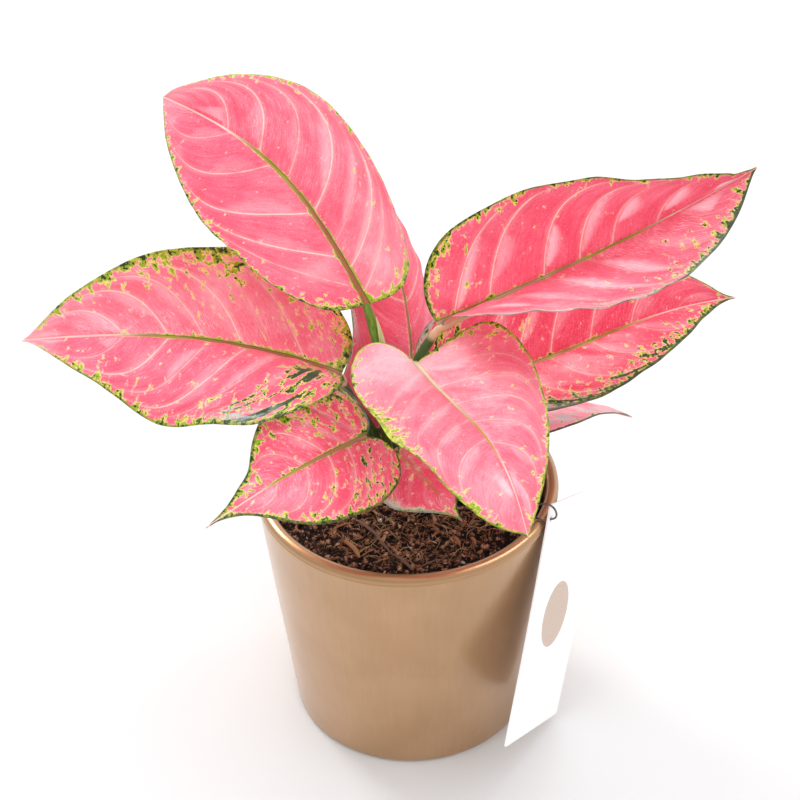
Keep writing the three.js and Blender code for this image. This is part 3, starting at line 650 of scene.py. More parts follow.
class Graph:
    """Short calls for the nodes of a material or a world. A material's colour is painted layer by layer."""

    def __init__(self, name, kind="materials"):
        self.owner = getattr(bpy.data, kind).new(name)
        self.owner.use_nodes = True
        self.tree = self.owner.node_tree
        self.colour = None

    def node(self, kind, **settings):
        made = self.tree.nodes.new(kind)
        for key, value in settings.items():
            setattr(made, key, value)
        return made

    def plug(self, socket, value):
        if isinstance(value, Value):
            self.tree.links.new(value.socket, socket)
        elif socket.type == "RGBA":
            socket.default_value = (*value, 1)
        else:
            socket.default_value = value

    def fill(self, node, inputs):
        for key, value in inputs.items():
            self.plug(node.inputs[key], value)

    def math(self, operation, *values):
        made = self.node("ShaderNodeMath", operation=operation)
        for socket, value in zip(made.inputs, values):
            self.plug(socket, value)
        return Value(self, made.outputs[0])

    def at_most(self, value, limit):
        return self.math("MINIMUM", value, limit)

    def ramp(self, value, low, high, start, end):
        made = self.node("ShaderNodeMapRange", interpolation_type="SMOOTHSTEP")
        self.fill(made, {"Value": value, "From Min": low, "From Max": high, "To Min": start, "To Max": end})
        return Value(self, made.outputs[0])

    def step(self, value, low, high):
        """0 below low and 1 above high, smooth between them."""
        return self.ramp(value, low, high, 0, 1)

    def fade(self, value, low, high):
        """1 below low and 0 above high, smooth between them."""
        return self.ramp(value, low, high, 1, 0)

    def mix(self, factor, a, b):
        made = self.node("ShaderNodeMix", data_type="RGBA")
        self.plug(made.inputs["Factor"], factor)
        colours = [s for s in made.inputs if s.type == "RGBA"]
        self.plug(colours[0], a)
        self.plug(colours[1], b)
        return Value(self, next(s for s in made.outputs if s.type == "RGBA"))

    def paint(self, factor, colour):
        """Covers the colour so far with this one, as far as the factor says."""
        self.colour = self.mix(factor, self.colour, colour)

    def attribute(self, name, output="Fac"):
        return Value(self, self.node("ShaderNodeAttribute", attribute_name=name).outputs[output])

    def scaled(self, vector, scale):
        made = self.node("ShaderNodeVectorMath", operation="MULTIPLY")
        self.plug(made.inputs[0], vector)
        self.plug(made.inputs[1], scale)
        return Value(self, made.outputs[0])

    def noise(self, vector, scale, detail, roughness, distortion=0.0):
        made = self.node("ShaderNodeTexNoise")
        self.fill(made, {"Vector": vector, "Scale": scale, "Detail": detail, "Roughness": roughness,
                         "Distortion": distortion})
        return Value(self, made.outputs["Fac"])

    def object_place(self):
        """Place on the object, in millimetres."""
        place = Value(self, self.node("ShaderNodeTexCoord").outputs["Object"])
        return self.scaled(place, (1 / MM, 1 / MM, 1 / MM))

    def bump(self, height, distance, strength=1.0, normal=None):
        made = self.node("ShaderNodeBump")
        self.fill(made, {"Height": height, "Distance": distance * MM, "Strength": strength})
        if normal is not None:
            self.plug(made.inputs["Normal"], normal)
        return Value(self, made.outputs[0])

    def surface(self, inputs):
        """Fills the shader's inputs and gives the material."""
        self.fill(self.tree.nodes["Principled BSDF"], {"Base Color": self.colour, **inputs})
        return self.owner


def leaf_material():
    g = Graph("leaf")
    flow = g.attribute("flow", "Vector")
    flat = g.attribute("flat", "Vector")
    grain = g.attribute("grain", "Vector")
    edge = g.attribute("edge_near")
    edge_width = g.attribute("edge_width")
    along = g.attribute("along")
    rib = g.attribute("rib_near")
    rib_tone = g.attribute("rib")
    rib_show = g.attribute("rib_show")
    rim = g.attribute("rim")
    strength = g.attribute("vein_strength")

    # Pink ground, streaked along the side veins
    streaks = g.noise(g.scaled(flow, (0.1, 1.0, 1)), 0.7, 3, 0.6)
    threads = g.noise(g.scaled(flow, (0.16, 1.0, 1)), 2.0, 2, 0.6)
    clouds = g.noise(flat, 0.06, 3, 0.6)
    speckle = g.noise(flat, 1.3, 2, 0.6)
    g.colour = g.mix(g.step(streaks * 0.6 + clouds * 0.4, 0.36, 0.66), CORAL, ROSE)
    g.paint(g.attribute("deep"), CRIMSON)
    # Pale clouds whiten the pink; pale also holds the painted highlights of the lights zones
    pale_and_highlight = g.attribute("pale") * (g.step(clouds, 0.35, 0.65) * 0.4 + 0.6)
    g.paint(g.at_most(pale_and_highlight, 0.9), BLUSH)
    scratches = g.step(threads, 0.52, 0.7) * g.step(clouds, 0.4, 0.6)
    g.paint(scratches * (g.attribute("worn") + 0.12), BLUSH)
    g.paint(g.step(speckle, 0.52, 0.7) * 0.22, BLUSH)
    g.paint(g.fade(threads, 0.34, 0.5) * 0.3, CRIMSON)
    tip = g.step(along, 0.86, 1.0) * g.attribute("tip_pale")

    # Side veins, with the painted gloss: a pale highlight painted on the tip side of each vein, where the
    # blade swells
    turn = g.math("FRACT", g.attribute("phase") + 0.5)
    from_vein = g.math("ABSOLUTE", turn - 0.5) * g.attribute("vein_gap")
    painted_gloss = g.attribute("painted_gloss") * (g.step(threads, 0.4, 0.6) * 0.25 + 0.75)
    g.paint(g.at_most(painted_gloss, 0.9), PAINTED_GLOSS_TONE)
    uneven = g.step(g.noise(flow, 0.2, 2, 0.5), 0.3, 0.6)
    line = g.fade(from_vein, 0.1, 0.38) + g.fade(from_vein, 0.3, 2.2) * 0.25
    line = line * (g.step(edge, 0.5, 8.0) * 0.75 + 0.25) * (strength * (uneven * 0.5 + 0.5))
    g.paint(g.at_most(line, 0.95), CREAM)

    # Spots: a yellow halo round lime with dark green dots, denser at the margin and beside veins
    blotch = g.noise(g.scaled(grain, (0.65, 1.0, 1)), 0.36, 2, 0.5, 0.5)
    crumbs = g.noise(flat, 1.0, 2, 0.6) - 0.53
    dots = g.noise(g.scaled(grain, (0.8, 1.0, 1)), 0.8, 1, 0.5) - 0.5
    near_margin = g.math("EXPONENT", g.math("DIVIDE", edge, edge_width + 0.4) * -1.0)
    beside = g.fade(from_vein, 0.2, 2.6) * strength
    junction = g.fade(rib, 1.0, 3.5) * 0.17 + 0.03
    ribbons = g.noise(g.scaled(flow, (0.16, 1.0, 1)), 0.26, 2, 0.5, 0.3)
    strips = g.attribute("strips") * g.step(ribbons, 0.47, 0.57)
    flank = g.fade(rib, 1.2, 3.2) * g.fade(along, 0.6, 0.78) * rib_tone
    field = blotch + g.attribute("spots") * 0.1 + near_margin * 0.33 + beside * junction
    field = field + flank * 0.18 + strips * 0.32 + crumbs * 0.26 - tip * 0.25
    dark = field + (rim * 0.1 - 0.05) + (dots * 0.8 + strips * 0.12)
    g.paint(g.step(field, 0.60, 0.68) * 0.45, BLUSH)
    g.paint(g.step(field, 0.67, 0.72) * 0.85, YELLOW)
    g.paint(g.step(field, 0.725, 0.765), LIME)

    # Margin: a green line with an uneven inner side, the dark dots, and a hairline at the very edge
    coloured = 1.0 - tip
    uneven_edge = g.noise(flat, 0.4, 2, 0.6) * (edge_width * 0.65 + 0.2)
    line = g.fade(edge - uneven_edge, -0.1, 0.25) * coloured
    sunlit = g.step(g.noise(flat, 0.3, 2, 0.6), 0.43, 0.57) * 0.75
    fresh = g.mix(sunlit, LEAF_GREEN, YELLOW_GREEN)
    g.paint(line, g.mix(rim, fresh, DARK_GREEN))
    g.paint(g.step(dark, 0.84, 0.87), DARK_GREEN)
    hairline = g.fade(edge, 0.05, 0.22) * coloured
    g.paint(hairline, g.mix(rim, HAIRLINE_GREEN, DARK_GREEN))
    g.paint(tip * 0.5, BLUSH)

    # Midrib: brown core between olive lines and a broken lime line, olive in its middle and cream at the tip
    core = g.mix(rib_tone, PALE_RIB, BROWN_PINK)
    core = g.mix(g.step(along, 0.3, 0.55), core, OLIVE)
    core = g.mix(g.step(along, 0.62, 0.76), core, CREAM)
    side_line = g.mix(g.step(along, 0.55, 0.72), g.mix(rib_tone, OLIVE, DARK_OLIVE), CREAM)
    broken = g.step(g.noise(flat, 0.35, 2, 0.6), 0.38, 0.5)
    fringe = g.step(rib, 1.0, 1.1) * g.fade(rib, 1.4, 2.0) * broken * (rib_tone * g.fade(along, 0.55, 0.75))
    g.paint(fringe * 0.85, g.mix(broken, YELLOW, LIME))
    g.paint(g.fade(rib, 0.85, 1.05) * rib_show, core)
    g.paint(g.step(rib, 0.7, 0.85) * g.fade(rib, 0.98, 1.15) * rib_show, side_line)
    # Painted glare: a grey sheen painted where the silver zones are, broken along the veins
    glare = g.attribute("silver") * g.step(g.noise(flow, 0.25, 2, 0.5), 0.35, 0.6)
    g.paint(g.at_most(glare, 0.9), GLARE_GREY)

    # The underside is paler and duller
    top = g.attribute("face")
    bumped = g.bump(g.noise(flat, 0.35, 3, 0.5), 0.6, 0.5, g.bump(threads, 0.2))
    return g.surface({
        "Base Color": g.mix(top, g.mix(0.45, g.colour, UNDERSIDE), g.colour),
        "Roughness": speckle * 0.12 + (top * -0.19 + 0.42),
        "Normal": bumped,
        "Specular IOR Level": 0.3,
        "Subsurface Weight": 0.08,
        "Subsurface Radius": LEAF_GLOW,
        "Subsurface Scale": 2.0 * MM,
    })


def stalk_material():
    g = Graph("stalk")
    along = g.attribute("along")
    lines = g.noise(g.scaled(g.attribute("turn", "Vector"), (1, 0.06, 1)), 3.2, 3, 0.6)
    patches = g.noise(g.object_place(), 0.25, 2, 0.5)
    pale = g.mix(g.step(lines, 0.35, 0.65), *SHEATH_TONES)
    g.colour = g.mix(g.step(lines, 0.3, 0.7), *STALK_GREENS)
    # Painted shade: the stalks that stand in the crown's shade are painted near-black green
    g.paint(g.attribute("tint") * 0.85, g.mix(lines, *STALK_SHADE_TONES))
    g.paint(g.fade(along, 0.02, 0.3), pale)
    g.paint(g.attribute("cream"), pale)
    g.paint(g.attribute("blush"), g.mix(lines, *STALK_END_TONES))
    g.paint(g.step(patches, 0.5, 0.7) * 0.25, STALK_PATCH)
    return g.surface({
        "Roughness": lines * 0.2 + 0.28,
        "Normal": g.bump(lines, 0.25),
        "Specular IOR Level": 0.3,
        "Subsurface Weight": 0.1,
        "Subsurface Radius": STALK_GLOW,
        "Subsurface Scale": 1.5 * MM,
    })


def bronze_material():
    g = Graph("bronze_glaze")
    place = g.object_place()
    brushed = g.noise(g.scaled(place, (1, 1, 0.03)), 0.5, 4, 0.6)
    clouds = g.noise(place, 0.03, 3, 0.5)
    grain = g.noise(place, 2.2, 2, 0.5)
    g.colour = g.mix(g.step(brushed * 0.3 + clouds * 0.7, 0.35, 0.65), *BRONZE_TONES)
    g.paint(g.step(grain, 0.6, 0.8) * 0.12, BRONZE_FLECK)
    g.paint(g.attribute("lip") * 0.9, BRONZE_LIP)
    return g.surface({
        "Metallic": 0.75,
        "Roughness": brushed * 0.08 + 0.3,
        "Normal": g.bump(brushed, 0.05, 0.5, g.bump(grain, 0.03)),
        "Coat Weight": 0.65,
        "Coat Roughness": 0.15,
    })


def soil_material():
    g = Graph("soil")
    place = g.object_place()
    clods = g.noise(place, 0.5, 4, 0.65)
    grains = g.noise(place, 2.4, 3, 0.6)
    # On the soil's top, light is painted shade: dark in the hollows between the crumbs and light on their
    # tops, with a painted glint on the highest. On the crumbs, fibres and bits it is their own random tone.
    light = g.attribute("light") + ((clods * 0.9 - 0.45) + (grains * 1.2 - 0.6))
    g.colour = g.mix(g.step(light, 0.24, 0.76), *SOIL_TONES)
    g.paint(g.step(light, 0.66, 1.05), SOIL_GLINT)
    g.paint(g.attribute("tone") * 0.8, g.mix(grains, *BARK_TONES))
    g.paint(g.attribute("straw"), STRAW)
    g.paint(g.attribute("twig"), g.mix(grains, *TWIG_TONES))
    return g.surface({
        "Roughness": 0.85,
        "Specular IOR Level": 0.25,
        "Normal": g.bump(grains + clods, 1.2),
    })


def perlite_material():
    g = Graph("perlite")
    pits = g.noise(g.object_place(), 2.5, 3, 0.6)
    g.colour = g.mix(g.step(pits, 0.35, 0.6), *PERLITE_TONES)
    return g.surface({"Roughness": 0.9, "Normal": g.bump(pits, 0.3)})


def card_material():
    g = Graph("card")
    fibres = g.noise(g.object_place(), 1.3, 4, 0.6)
    paper = g.mix(g.step(fibres, 0.3, 0.7), *PAPER_TONES)
    ink = g.mix(g.step(fibres, 0.35, 0.65), *INK_TONES)
    printed = g.fade(g.attribute("from_disc") + fibres * 0.12, DISC_RADIUS - 0.1, DISC_RADIUS + 0.1)
    g.colour = g.mix(printed, paper, ink)
    return g.surface({"Roughness": printed * -0.2 + 0.75, "Normal": g.bump(fibres, 0.03)})


def wire_material():
    g = Graph("wire")
    worn = g.noise(g.object_place(), 0.9, 3, 0.6)
    g.colour = g.mix(g.step(worn, 0.35, 0.65), *WIRE_TONES)
    return g.surface({"Metallic": 0.7, "Roughness": worn * 0.3 + 0.3})


def floor_material():
    g = Graph("floor")
    g.colour = FLOOR_TONE
    return g.surface({"Roughness": 0.6, "Specular IOR Level": 0.0})


# Leaf blades

def cubic(p0, p1, p2, p3, t):
    s = 1 - t
    return s ** 3 * p0 + 3 * s ** 2 * t * p1 + 3 * s * t ** 2 * p2 + t ** 3 * p3


def half_outline(step, leaf, side):
    """Half outline from the notch at the base (0) to the tip (1): along the length, across the half."""
    lobe, widest = leaf["lobe"][side], leaf["widest"][side]
    shoulder = widest + leaf["shoulder"][side]
    t = np.clip(step / OUTLINE_SPLIT, 0, 1)
    x_low = cubic(0, -LOBE_PULL[0] * lobe, -LOBE_PULL[1] * lobe - BASE_FULLNESS, widest, t)
    u_low = cubic(0, NOTCH_OPENING, 1, 1, t)
    t = np.clip((step - OUTLINE_SPLIT) / (1 - OUTLINE_SPLIT), 0, 1)
    x_high = cubic(widest, shoulder, 1 - leaf["point"], 1, t)
    u_high = cubic(1, 1, TIP_SLIMNESS, 0, t)
    low = step <= OUTLINE_SPLIT
    return np.where(low, x_low, x_high), np.where(low, u_low, u_high)


def chord(leaf):
    """Length, direction, sideways (to its right) and up of a blade."""
    base = np.array(leaf["base"], float)
    along = np.array(leaf["tip"], float) - base
    length = np.linalg.norm(along)
    along = along / length
    level = unit(np.cross(along, (0, 0, 1)))
    right, up = turned(level, np.cross(level, along), math.radians(leaf["roll"]))
    return dict(base=base, length=length, along=along, right=right, up=up)


def midrib(leaf, axes, x):
    """Points of the midrib, which runs on straight behind the base."""
    x = np.asarray(x, float)
    near = 0.01
    at = np.where(x < 0, near, np.clip(x, 1e-6, 1))
    scale = np.where(x < 0, x / near, 1)
    rise = leaf["arch"] * np.sin(np.pi * at ** leaf["skew"]) * scale
    shift = leaf["sweep"] * np.sin(np.pi * at) * scale
    offset = x[..., None] * axes["along"] + rise[..., None] * axes["up"] + shift[..., None] * axes["right"]
    return axes["base"] + axes["length"] * offset


def blade_point(leaf, axes, side, x, u):
    """Middle surface and upward normal, at a part x of the length and u of a half's width."""
    x, u = np.broadcast_arrays(np.asarray(x, float), np.asarray(u, float))
    centre = midrib(leaf, axes, x)
    tangent = unit(midrib(leaf, axes, x + 0.001) - centre)
    twist = math.radians(leaf["twist"]) * (np.clip(x, 0, 1) - TWIST_CENTRE)
    across = np.cos(twist)[..., None] * axes["right"] + np.sin(twist)[..., None] * axes["up"]
    across = unit(across - tangent * (across * tangent).sum(-1, keepdims=True))
    up = np.cross(across, tangent)
    sign = -1 if side == 0 else 1
    half = leaf["halves"][side]
    fold = math.radians(leaf["fold"][side])
    bend = math.radians(leaf["curl"][side]) / half
    reach = u * half
    slope = fold + bend * reach
    out = reach * math.cos(fold)
    rise = reach * math.sin(fold)
    if abs(bend) > 1e-7:
        out = (np.sin(slope) - math.sin(fold)) / bend
        rise = (math.cos(fold) - np.cos(slope)) / bend
    rise = rise + leaf["wave"] * u * u * np.sin(2 * np.pi * (WAVES * x + WAVE_OFFSET * side))
    point = centre + sign * out[..., None] * across + rise[..., None] * up
    normal = np.cos(slope)[..., None] * up - sign * np.sin(slope)[..., None] * across
    return point, normal


def half_grid(leaf, side):
    """Rows from the midrib to the margin: x along the length, u across the half, and v within a row."""
    step = np.linspace(0, 1, BLADE_ROWS + 1)[:, None]
    start = step ** ROW_CROWDING
    edge_x, edge_u = half_outline(step, leaf, side)
    v = np.linspace(0, 1, BLADE_COLUMNS + 1)[None] ** COLUMN_CROWDING
    power = 1 + ROW_SWEEP * np.minimum(step / OUTLINE_SPLIT, 1)
    return start + (edge_x - start) * v ** power, edge_u * v, v


def bulged(leaf, side, x, v, point):
    """The points with the outline's bulges, and the way out of the blade at the end of each row."""
    outward = unit(point[:, -1] - point[:, -2] + 1e-9)[:, None]
    row_length = np.linalg.norm(point[:, -1] - point[:, 0], axis=-1)[:, None]
    for at_side, at_x, reach, shift in leaf["bulges"]:
        if at_side == side:
            size = shift * hump(x[:, -1:] - at_x, reach) * smooth(0, BULGE_ROW_LENGTH, row_length)
            point = point + (size * v ** 3)[..., None] * outward
    return point, outward[:, 0]


def margin_distance(leaf, side, length, flat_x, flat_y):
    """Distance to the margin in the flattened blade."""
    outline_x, outline_u = half_outline(np.linspace(0, 1, OUTLINE_SAMPLES), leaf, side)
    margin = np.stack([outline_x * length, outline_u * leaf["halves"][side]], -1)
    places = np.stack([flat_x, flat_y], -1)[:, :, None]
    return np.sqrt(((places - margin) ** 2).sum(-1).min(-1))


def vein_place(leaf, axes, side, x, u):
    """Where the side vein through a place starts on the midrib. Below 0 the veins fan out from the base."""
    edge_x, edge_u = half_outline(np.linspace(0, 1, 400), leaf, side)
    back = int(edge_x.argmin())
    width = np.interp(x, edge_x[back:], edge_u[back:])
    out = np.clip(u / np.maximum(width, 0.02), 0, 1)
    half = leaf["halves"][side] / axes["length"]
    start = x + VEIN_BOW * half * np.log(1 - VEIN_REACH * out)
    return np.where(start > 0, start, start * 0.12 / (u * half + 0.02))


def side_veins(leaf, axes, side, number, x, u, v):
    """At each point: where its side vein starts, the way to the nearest vein, and what the material is told.

    The phase counts the veins from the base on, and the gap is the way between two.
    """
    place = vein_place(leaf, axes, side, x, u)
    by_x = (vein_place(leaf, axes, side, x + VEIN_PROBE, u) - place) / (VEIN_PROBE * axes["length"])
    by_u = (vein_place(leaf, axes, side, x, u + VEIN_PROBE) - place) / (VEIN_PROBE * leaf["halves"][side])
    spread = np.clip(np.hypot(by_x, by_u), 2e-3, 1)
    starts, strengths = np.array([*VEIN_FAN, *leaf["veins"][side], VEIN_END]).T
    phase = np.interp(place, starts, np.arange(len(starts)))
    gap = np.interp(place, starts, np.gradient(starts)) / spread
    draw = np.random.default_rng(PAINTED_GLOSS_SEED + 2 * number + side)
    middles, reaches, amounts = (draw.uniform(*span, len(starts) + 1) for span in PAINTED_GLOSS_SPANS)
    vein = np.clip(np.floor(phase).astype(int), 0, len(starts))
    lens = np.clip(1 - ((v - middles[vein]) / reaches[vein]) ** 2, 0, 1)
    after = phase % 1
    # Painted gloss: a pale highlight lens painted just past each side vein
    painted_gloss = smooth(0, 0.4, lens) * smooth(0.02, 0.1, after)
    painted_gloss = painted_gloss * smooth(0.48 * lens + 0.05, 0.12 * lens, after)
    away = np.abs((phase + 0.5) % 1 - 0.5) * gap
    strength = np.interp(place, starts, strengths)
    painted_gloss = painted_gloss * amounts[vein] * leaf["bands"][side]
    return place, away, dict(phase=phase, vein_gap=gap, vein_strength=strength, painted_gloss=painted_gloss)


def wavy(seed, x, y, count, lengths):
    """A smooth random height from about -1 to 1 in the plane, as a sum of waves."""
    draw = np.random.default_rng(seed)
    total = 0
    for _ in range(count):
        length = draw.uniform(*lengths)
        angle, phase = draw.uniform(0, 2 * np.pi, 2)
        total = total + np.sin(2 * np.pi * (x * np.cos(angle) + y * np.sin(angle)) / length + phase)
    return total / math.sqrt(count)


def zones(table, side, x, v):
    total = np.zeros(x.shape)
    for at_side, at_x, at_v, reach_x, reach_v, more in table:
        if at_side == side:
            total = total + more * np.exp(-((x - at_x) / reach_x) ** 2 - ((v - at_v) / reach_v) ** 2)
    return total


def half_blade(leaf, axes, side, number):
    """One half of a blade as a grid of rows from midrib to margin, with all that its points know."""
    length = axes["length"]
    x, u, v = half_grid(leaf, side)
    point, normal = blade_point(leaf, axes, side, x, u)
    point, outward = bulged(leaf, side, x, v, point)
    flat_x, flat_y = x * length, u * leaf["halves"][side]
    edge = margin_distance(leaf, side, length, flat_x, flat_y)
    place, away, veins = side_veins(leaf, axes, side, number, x, u, v)
    part = np.clip(x, 0, 1)
    rib_width = RIB_HALF_WIDTH + (RIB_TIP_HALF_WIDTH - RIB_HALF_WIDTH) * part ** 0.7

    # Relief: hollow along the veins, quilted between them, puckered, with a channel over the midrib
    inner = smooth(0, 6, edge) * smooth(0, 3, flat_y)
    quilt = np.abs(np.sin(np.pi * veins["phase"])) ** 1.3
    relief = QUILT_HEIGHT * leaf["quilt"] * quilt * inner * smooth(2, 9, veins["vein_gap"])
    relief -= VEIN_DEPTH * veins["vein_strength"] * hump(away, VEIN_HALF_WIDTH) * inner
    pucker = wavy(SEED + number, flat_y * 0.6 - place * length, flat_x * 0.5, 9, PUCKER_LENGTHS)
    relief += PUCKER_HEIGHT * inner * pucker
    relief -= CHANNEL_DEPTH * hump(flat_y, 1.2 * rib_width) * (1 - 0.6 * part)
    margin_wave = MARGIN_WAVE * wavy(MARGIN_SEED + number, flat_x, 40 * side, 5, MARGIN_WAVE_LENGTHS)
    relief += margin_wave * smooth(MARGIN_WAVE_REACH, 0, edge) * smooth(0, 10, flat_y)

    thick = MARGIN_THICKNESS + (BLADE_THICKNESS - MARGIN_THICKNESS) * smooth(0, MARGIN_TAPER, edge)
    ridge = (RIB_DEPTH + (RIB_TIP_DEPTH - RIB_DEPTH) * part) * hump(flat_y, rib_width) * smooth(-0.02, 0, x)
    upper = point + normal * (relief + thick / 2)[..., None]
    lower = point + normal * (relief - thick / 2 - ridge)[..., None]
    rim = point[:, -1] + normal[:, -1] * relief[:, -1:] + outward * MARGIN_THICKNESS / 2

    sign = -1 if side == 0 else 1
    layer = LEAF_LAYER * number + HALF_LAYER * side
    facts = dict(
        veins,
        flat=noise_place(flat_x, sign * flat_y, LEAF_LAYER * number),
        flow=noise_place(flat_y * 1.15, place * length, layer),
        grain=noise_place(0.9 * flat_y + 0.45 * flat_x, 0.9 * flat_x - 0.45 * flat_y, layer),
        along=x,
        edge_near=edge,
        rib_near=flat_y / (rib_width * leaf["rib_size"]),
        edge_width=leaf["edge"][side] + zones(leaf["margins"], side, x, v),
        # pale is the half's own paleness plus the painted highlights of the lights zones
        pale=leaf["pale"][side] + zones(leaf["lights"], side, x, v),
        spots=leaf["freckles"] + zones(leaf["patches"], side, x, v),
        strips=zones(leaf["strips"], side, x, v),
        silver=zones(leaf["silver"], side, x, v),
    )
    for key in HALF_LOOKS:
        facts[key] = np.full(x.shape, float(leaf[key][side]))
    for key in WHOLE_LOOKS:
        facts[key] = np.full(x.shape, float(leaf[key]))
    return upper, lower, rim, facts


def quads(grid, flip):
    """Faces between the neighbours in a grid of point numbers. Corners that are one point count once."""
    faces = []
    for i in range(grid.shape[0] - 1):
        for k in range(grid.shape[1] - 1):
            quad = [grid[i, k], grid[i, k + 1], grid[i + 1, k + 1], grid[i + 1, k]]
            corners = list(dict.fromkeys(int(q) for q in quad))
            if len(corners) > 2:
                faces.append(corners[::-1] if flip else corners)
    return faces


def make_leaf(leaf, number, material):
    """A blade as one closed mesh: an upper and a lower face that share a rounded rim."""
    axes = chord(leaf)
    points, facts, sheets = [], [], []
    count = 0
    for side in (0, 1):
        upper, lower, rim, known = half_blade(leaf, axes, side, number)
        known_at_rim = {key: value[:, -1] for key, value in known.items()}
        sheet = []
        for array, given, face in ((upper, known, 1), (lower, known, 0), (rim, known_at_rim, 0.5)):
            shape = array.shape[:-1]
            size = math.prod(shape)
            points.append(array.reshape(size, 3))
            given = dict(given, face=np.full(shape, float(face)))
            facts.append({key: value.reshape(size, -1) for key, value in given.items()})
            sheet.append(count + np.arange(size).reshape(shape))
            count += size
        sheets.append(sheet)

    # Both halves share the midrib's points, and each row's ends at the notch and the tip are one point
    left, right = sheets
    for k in (0, 1):
        right[k][:, 0] = left[k][:, 0]
    for row in (0, -1):
        shared_top, shared_bottom = int(left[0][row, 0]), int(left[1][row, 0])
        for top, bottom, edge in sheets:
            top[row, :] = shared_top
            bottom[row, :] = shared_bottom
            edge[row] = shared_top
    faces = []
    for side, (top, bottom, edge) in enumerate(sheets):
        faces += quads(top, side == 0)
        faces += quads(bottom, side == 1)
        faces += quads(np.stack([top[:, -1], edge], 1), side == 0)
        faces += quads(np.stack([edge, bottom[:, -1]], 1), side == 0)
    used = np.unique(np.concatenate([np.array(f) for f in faces]))
    renumber = np.full(count, -1)
    renumber[used] = np.arange(len(used))
    faces = [[int(renumber[i]) for i in face] for face in faces]
    attributes = {}
    for key in facts[0]:
        joined = np.concatenate([given[key] for given in facts])[used]
        attributes[key] = joined if joined.shape[1] == 3 else joined[:, 0]
    piece = new_object(leaf["name"].replace("leaf", "blade"), np.concatenate(points)[used], faces, material,
                       attributes)
    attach(piece, "root")
    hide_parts(leaf["name"])


# Stalks, cane and the rolled new leaf

def stalk_path(leaf):
    """From the cane to the blade's base, and on along the midrib's underside."""
    axes = chord(leaf)
    base = axes["base"]
    start_x, end_x = STALK_UNDER_BLADE
    _, normal = blade_point(leaf, axes, 1, start_x, 0.0)
    direction = unit(midrib(leaf, axes, start_x) - base)
    arrival, _ = turned(direction, normal, math.radians(leaf["angle"]))
    start = np.array((CANE_X + leaf["foot"][0], CANE_Y + leaf["foot"][1], STALK_FOOT), float)
    end = base - normal * STALK_SUNK[0] - direction * STALK_SET_BACK
    t = np.linspace(0, 1, STALK_STEPS)[:, None]
    rising = cubic(start, start + (0, 0, leaf["rise"]), end - arrival * leaf["run_in"], end, t)
    under, normals = blade_point(leaf, axes, 1, np.linspace(start_x, end_x, STALK_END_STEPS), 0.0)
    sunk = np.linspace(*STALK_SUNK, STALK_END_STEPS)[:, None]
    return np.concatenate([rising, under - normals * sunk]), normal


def add_stalk(parts, leaf, number):
    """A stalk that sheathes the cane with two wings and has a groove along its upper side."""
    path, normal = stalk_path(leaf)
    lengths = distances(path)
    arrive = lengths[STALK_STEPS - 1] / lengths[-1]
    stops, radii = zip(*STALK_RADII)

    def radius_at(t, angle):
        t = 1 - t
        from_top = np.minimum(angle, 2 * np.pi - angle)
        radius = np.interp(t / arrive, stops, radii)
        radius = np.where(t > arrive, np.interp(t, [arrive, 1], [radii[-1], STALK_END_RADIUS]), radius)
        groove = 0.22 * hump(from_top, 0.45) * smooth(0.15, 0.5, t)
        wings = 0.16 * hump(from_top - 0.85, 0.3) * smooth(0.75, 0.3, t)
        return radius * (1 - groove + wings)

    points, faces, along, turn = swept(path[::-1], normal, radius_at, STALK_SIDES)
    along = 1 - along
    parts.add(points, [f[::-1] for f in faces], along=along / arrive, tint=leaf["stalk_dark"],
              blush=leaf["stalk_blush"] * smooth(0.95, 0.97, along / arrive),
              turn=noise_place(turn * 2, along * lengths[-1], STALK_LAYER * number))


def add_cane(parts):
    """The cane with its ring scars, narrower at the shoulder."""
    side_gap, foot_gap = CANE_GAP
    path = np.array([(CANE_X, CANE_Y, z) for z in np.linspace(CANE_FOOT + foot_gap, CANE_TOP, CANE_STEPS)])

    def radius_at(t, angle):
        scars = 0.35 * hump(t * CANE_SCARS % 1 - 0.5, 0.12)
        shoulder = CANE_SHOULDER * smooth(0.85, 1, t)
        return CANE_RADIUS - side_gap - scars - shoulder + 0.3 * np.sin(3 * angle + 2)

    points, faces, along, turn = swept(path, (1, 0, 0), radius_at, 40)
    # Some painted shade on the cane under the leaves
    parts.add(points, faces, along=0.12, tint=0.3, cream=0.4,
              turn=noise_place(turn * 6, along * 30, CANE_LAYER))


def add_spear(parts):
    """The new leaf, whose outer edge laps over the roll."""
    t = np.linspace(0, 1, SPEAR_STEPS)[:, None]
    foot, bend, tip = (np.array(p, float) for p in (SPEAR_FOOT, SPEAR_BEND, SPEAR_TIP))
    path = (1 - t) ** 2 * foot + 2 * t * (1 - t) * bend + t ** 2 * tip

    def radius_at(t, angle):
        wrap = 0.3 * ((angle / (2 * np.pi) + 0.35 * t) % 1)
        return (SPEAR_RADIUS * (1 - t ** 3) + SPEAR_TIP_RADIUS) * (0.78 + wrap)

    points, faces, along, turn = swept(path, (1, 0, 0), radius_at, 28)
    parts.add(points, faces, along=0.6, cream=0.55 + 0.4 * along,
              turn=noise_place(turn * 2, along * 60, SPEAR_LAYER))


def make_stems(material):
    parts = Parts("along", "tint", "cream", "blush", "turn")
    for number, leaf in enumerate(LEAVES):
        add_stalk(parts, leaf, number)
    add_cane(parts)
    add_spear(parts)
    piece = parts.make("plant_stems", material)
    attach(piece, "root")
    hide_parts("stems")


# Pot

def wall_radius(height):
    return POT_FOOT_RADIUS + (POT_RIM_RADIUS - POT_FOOT_RADIUS) * height / (POT_HEIGHT - POT_LIP_RADIUS)


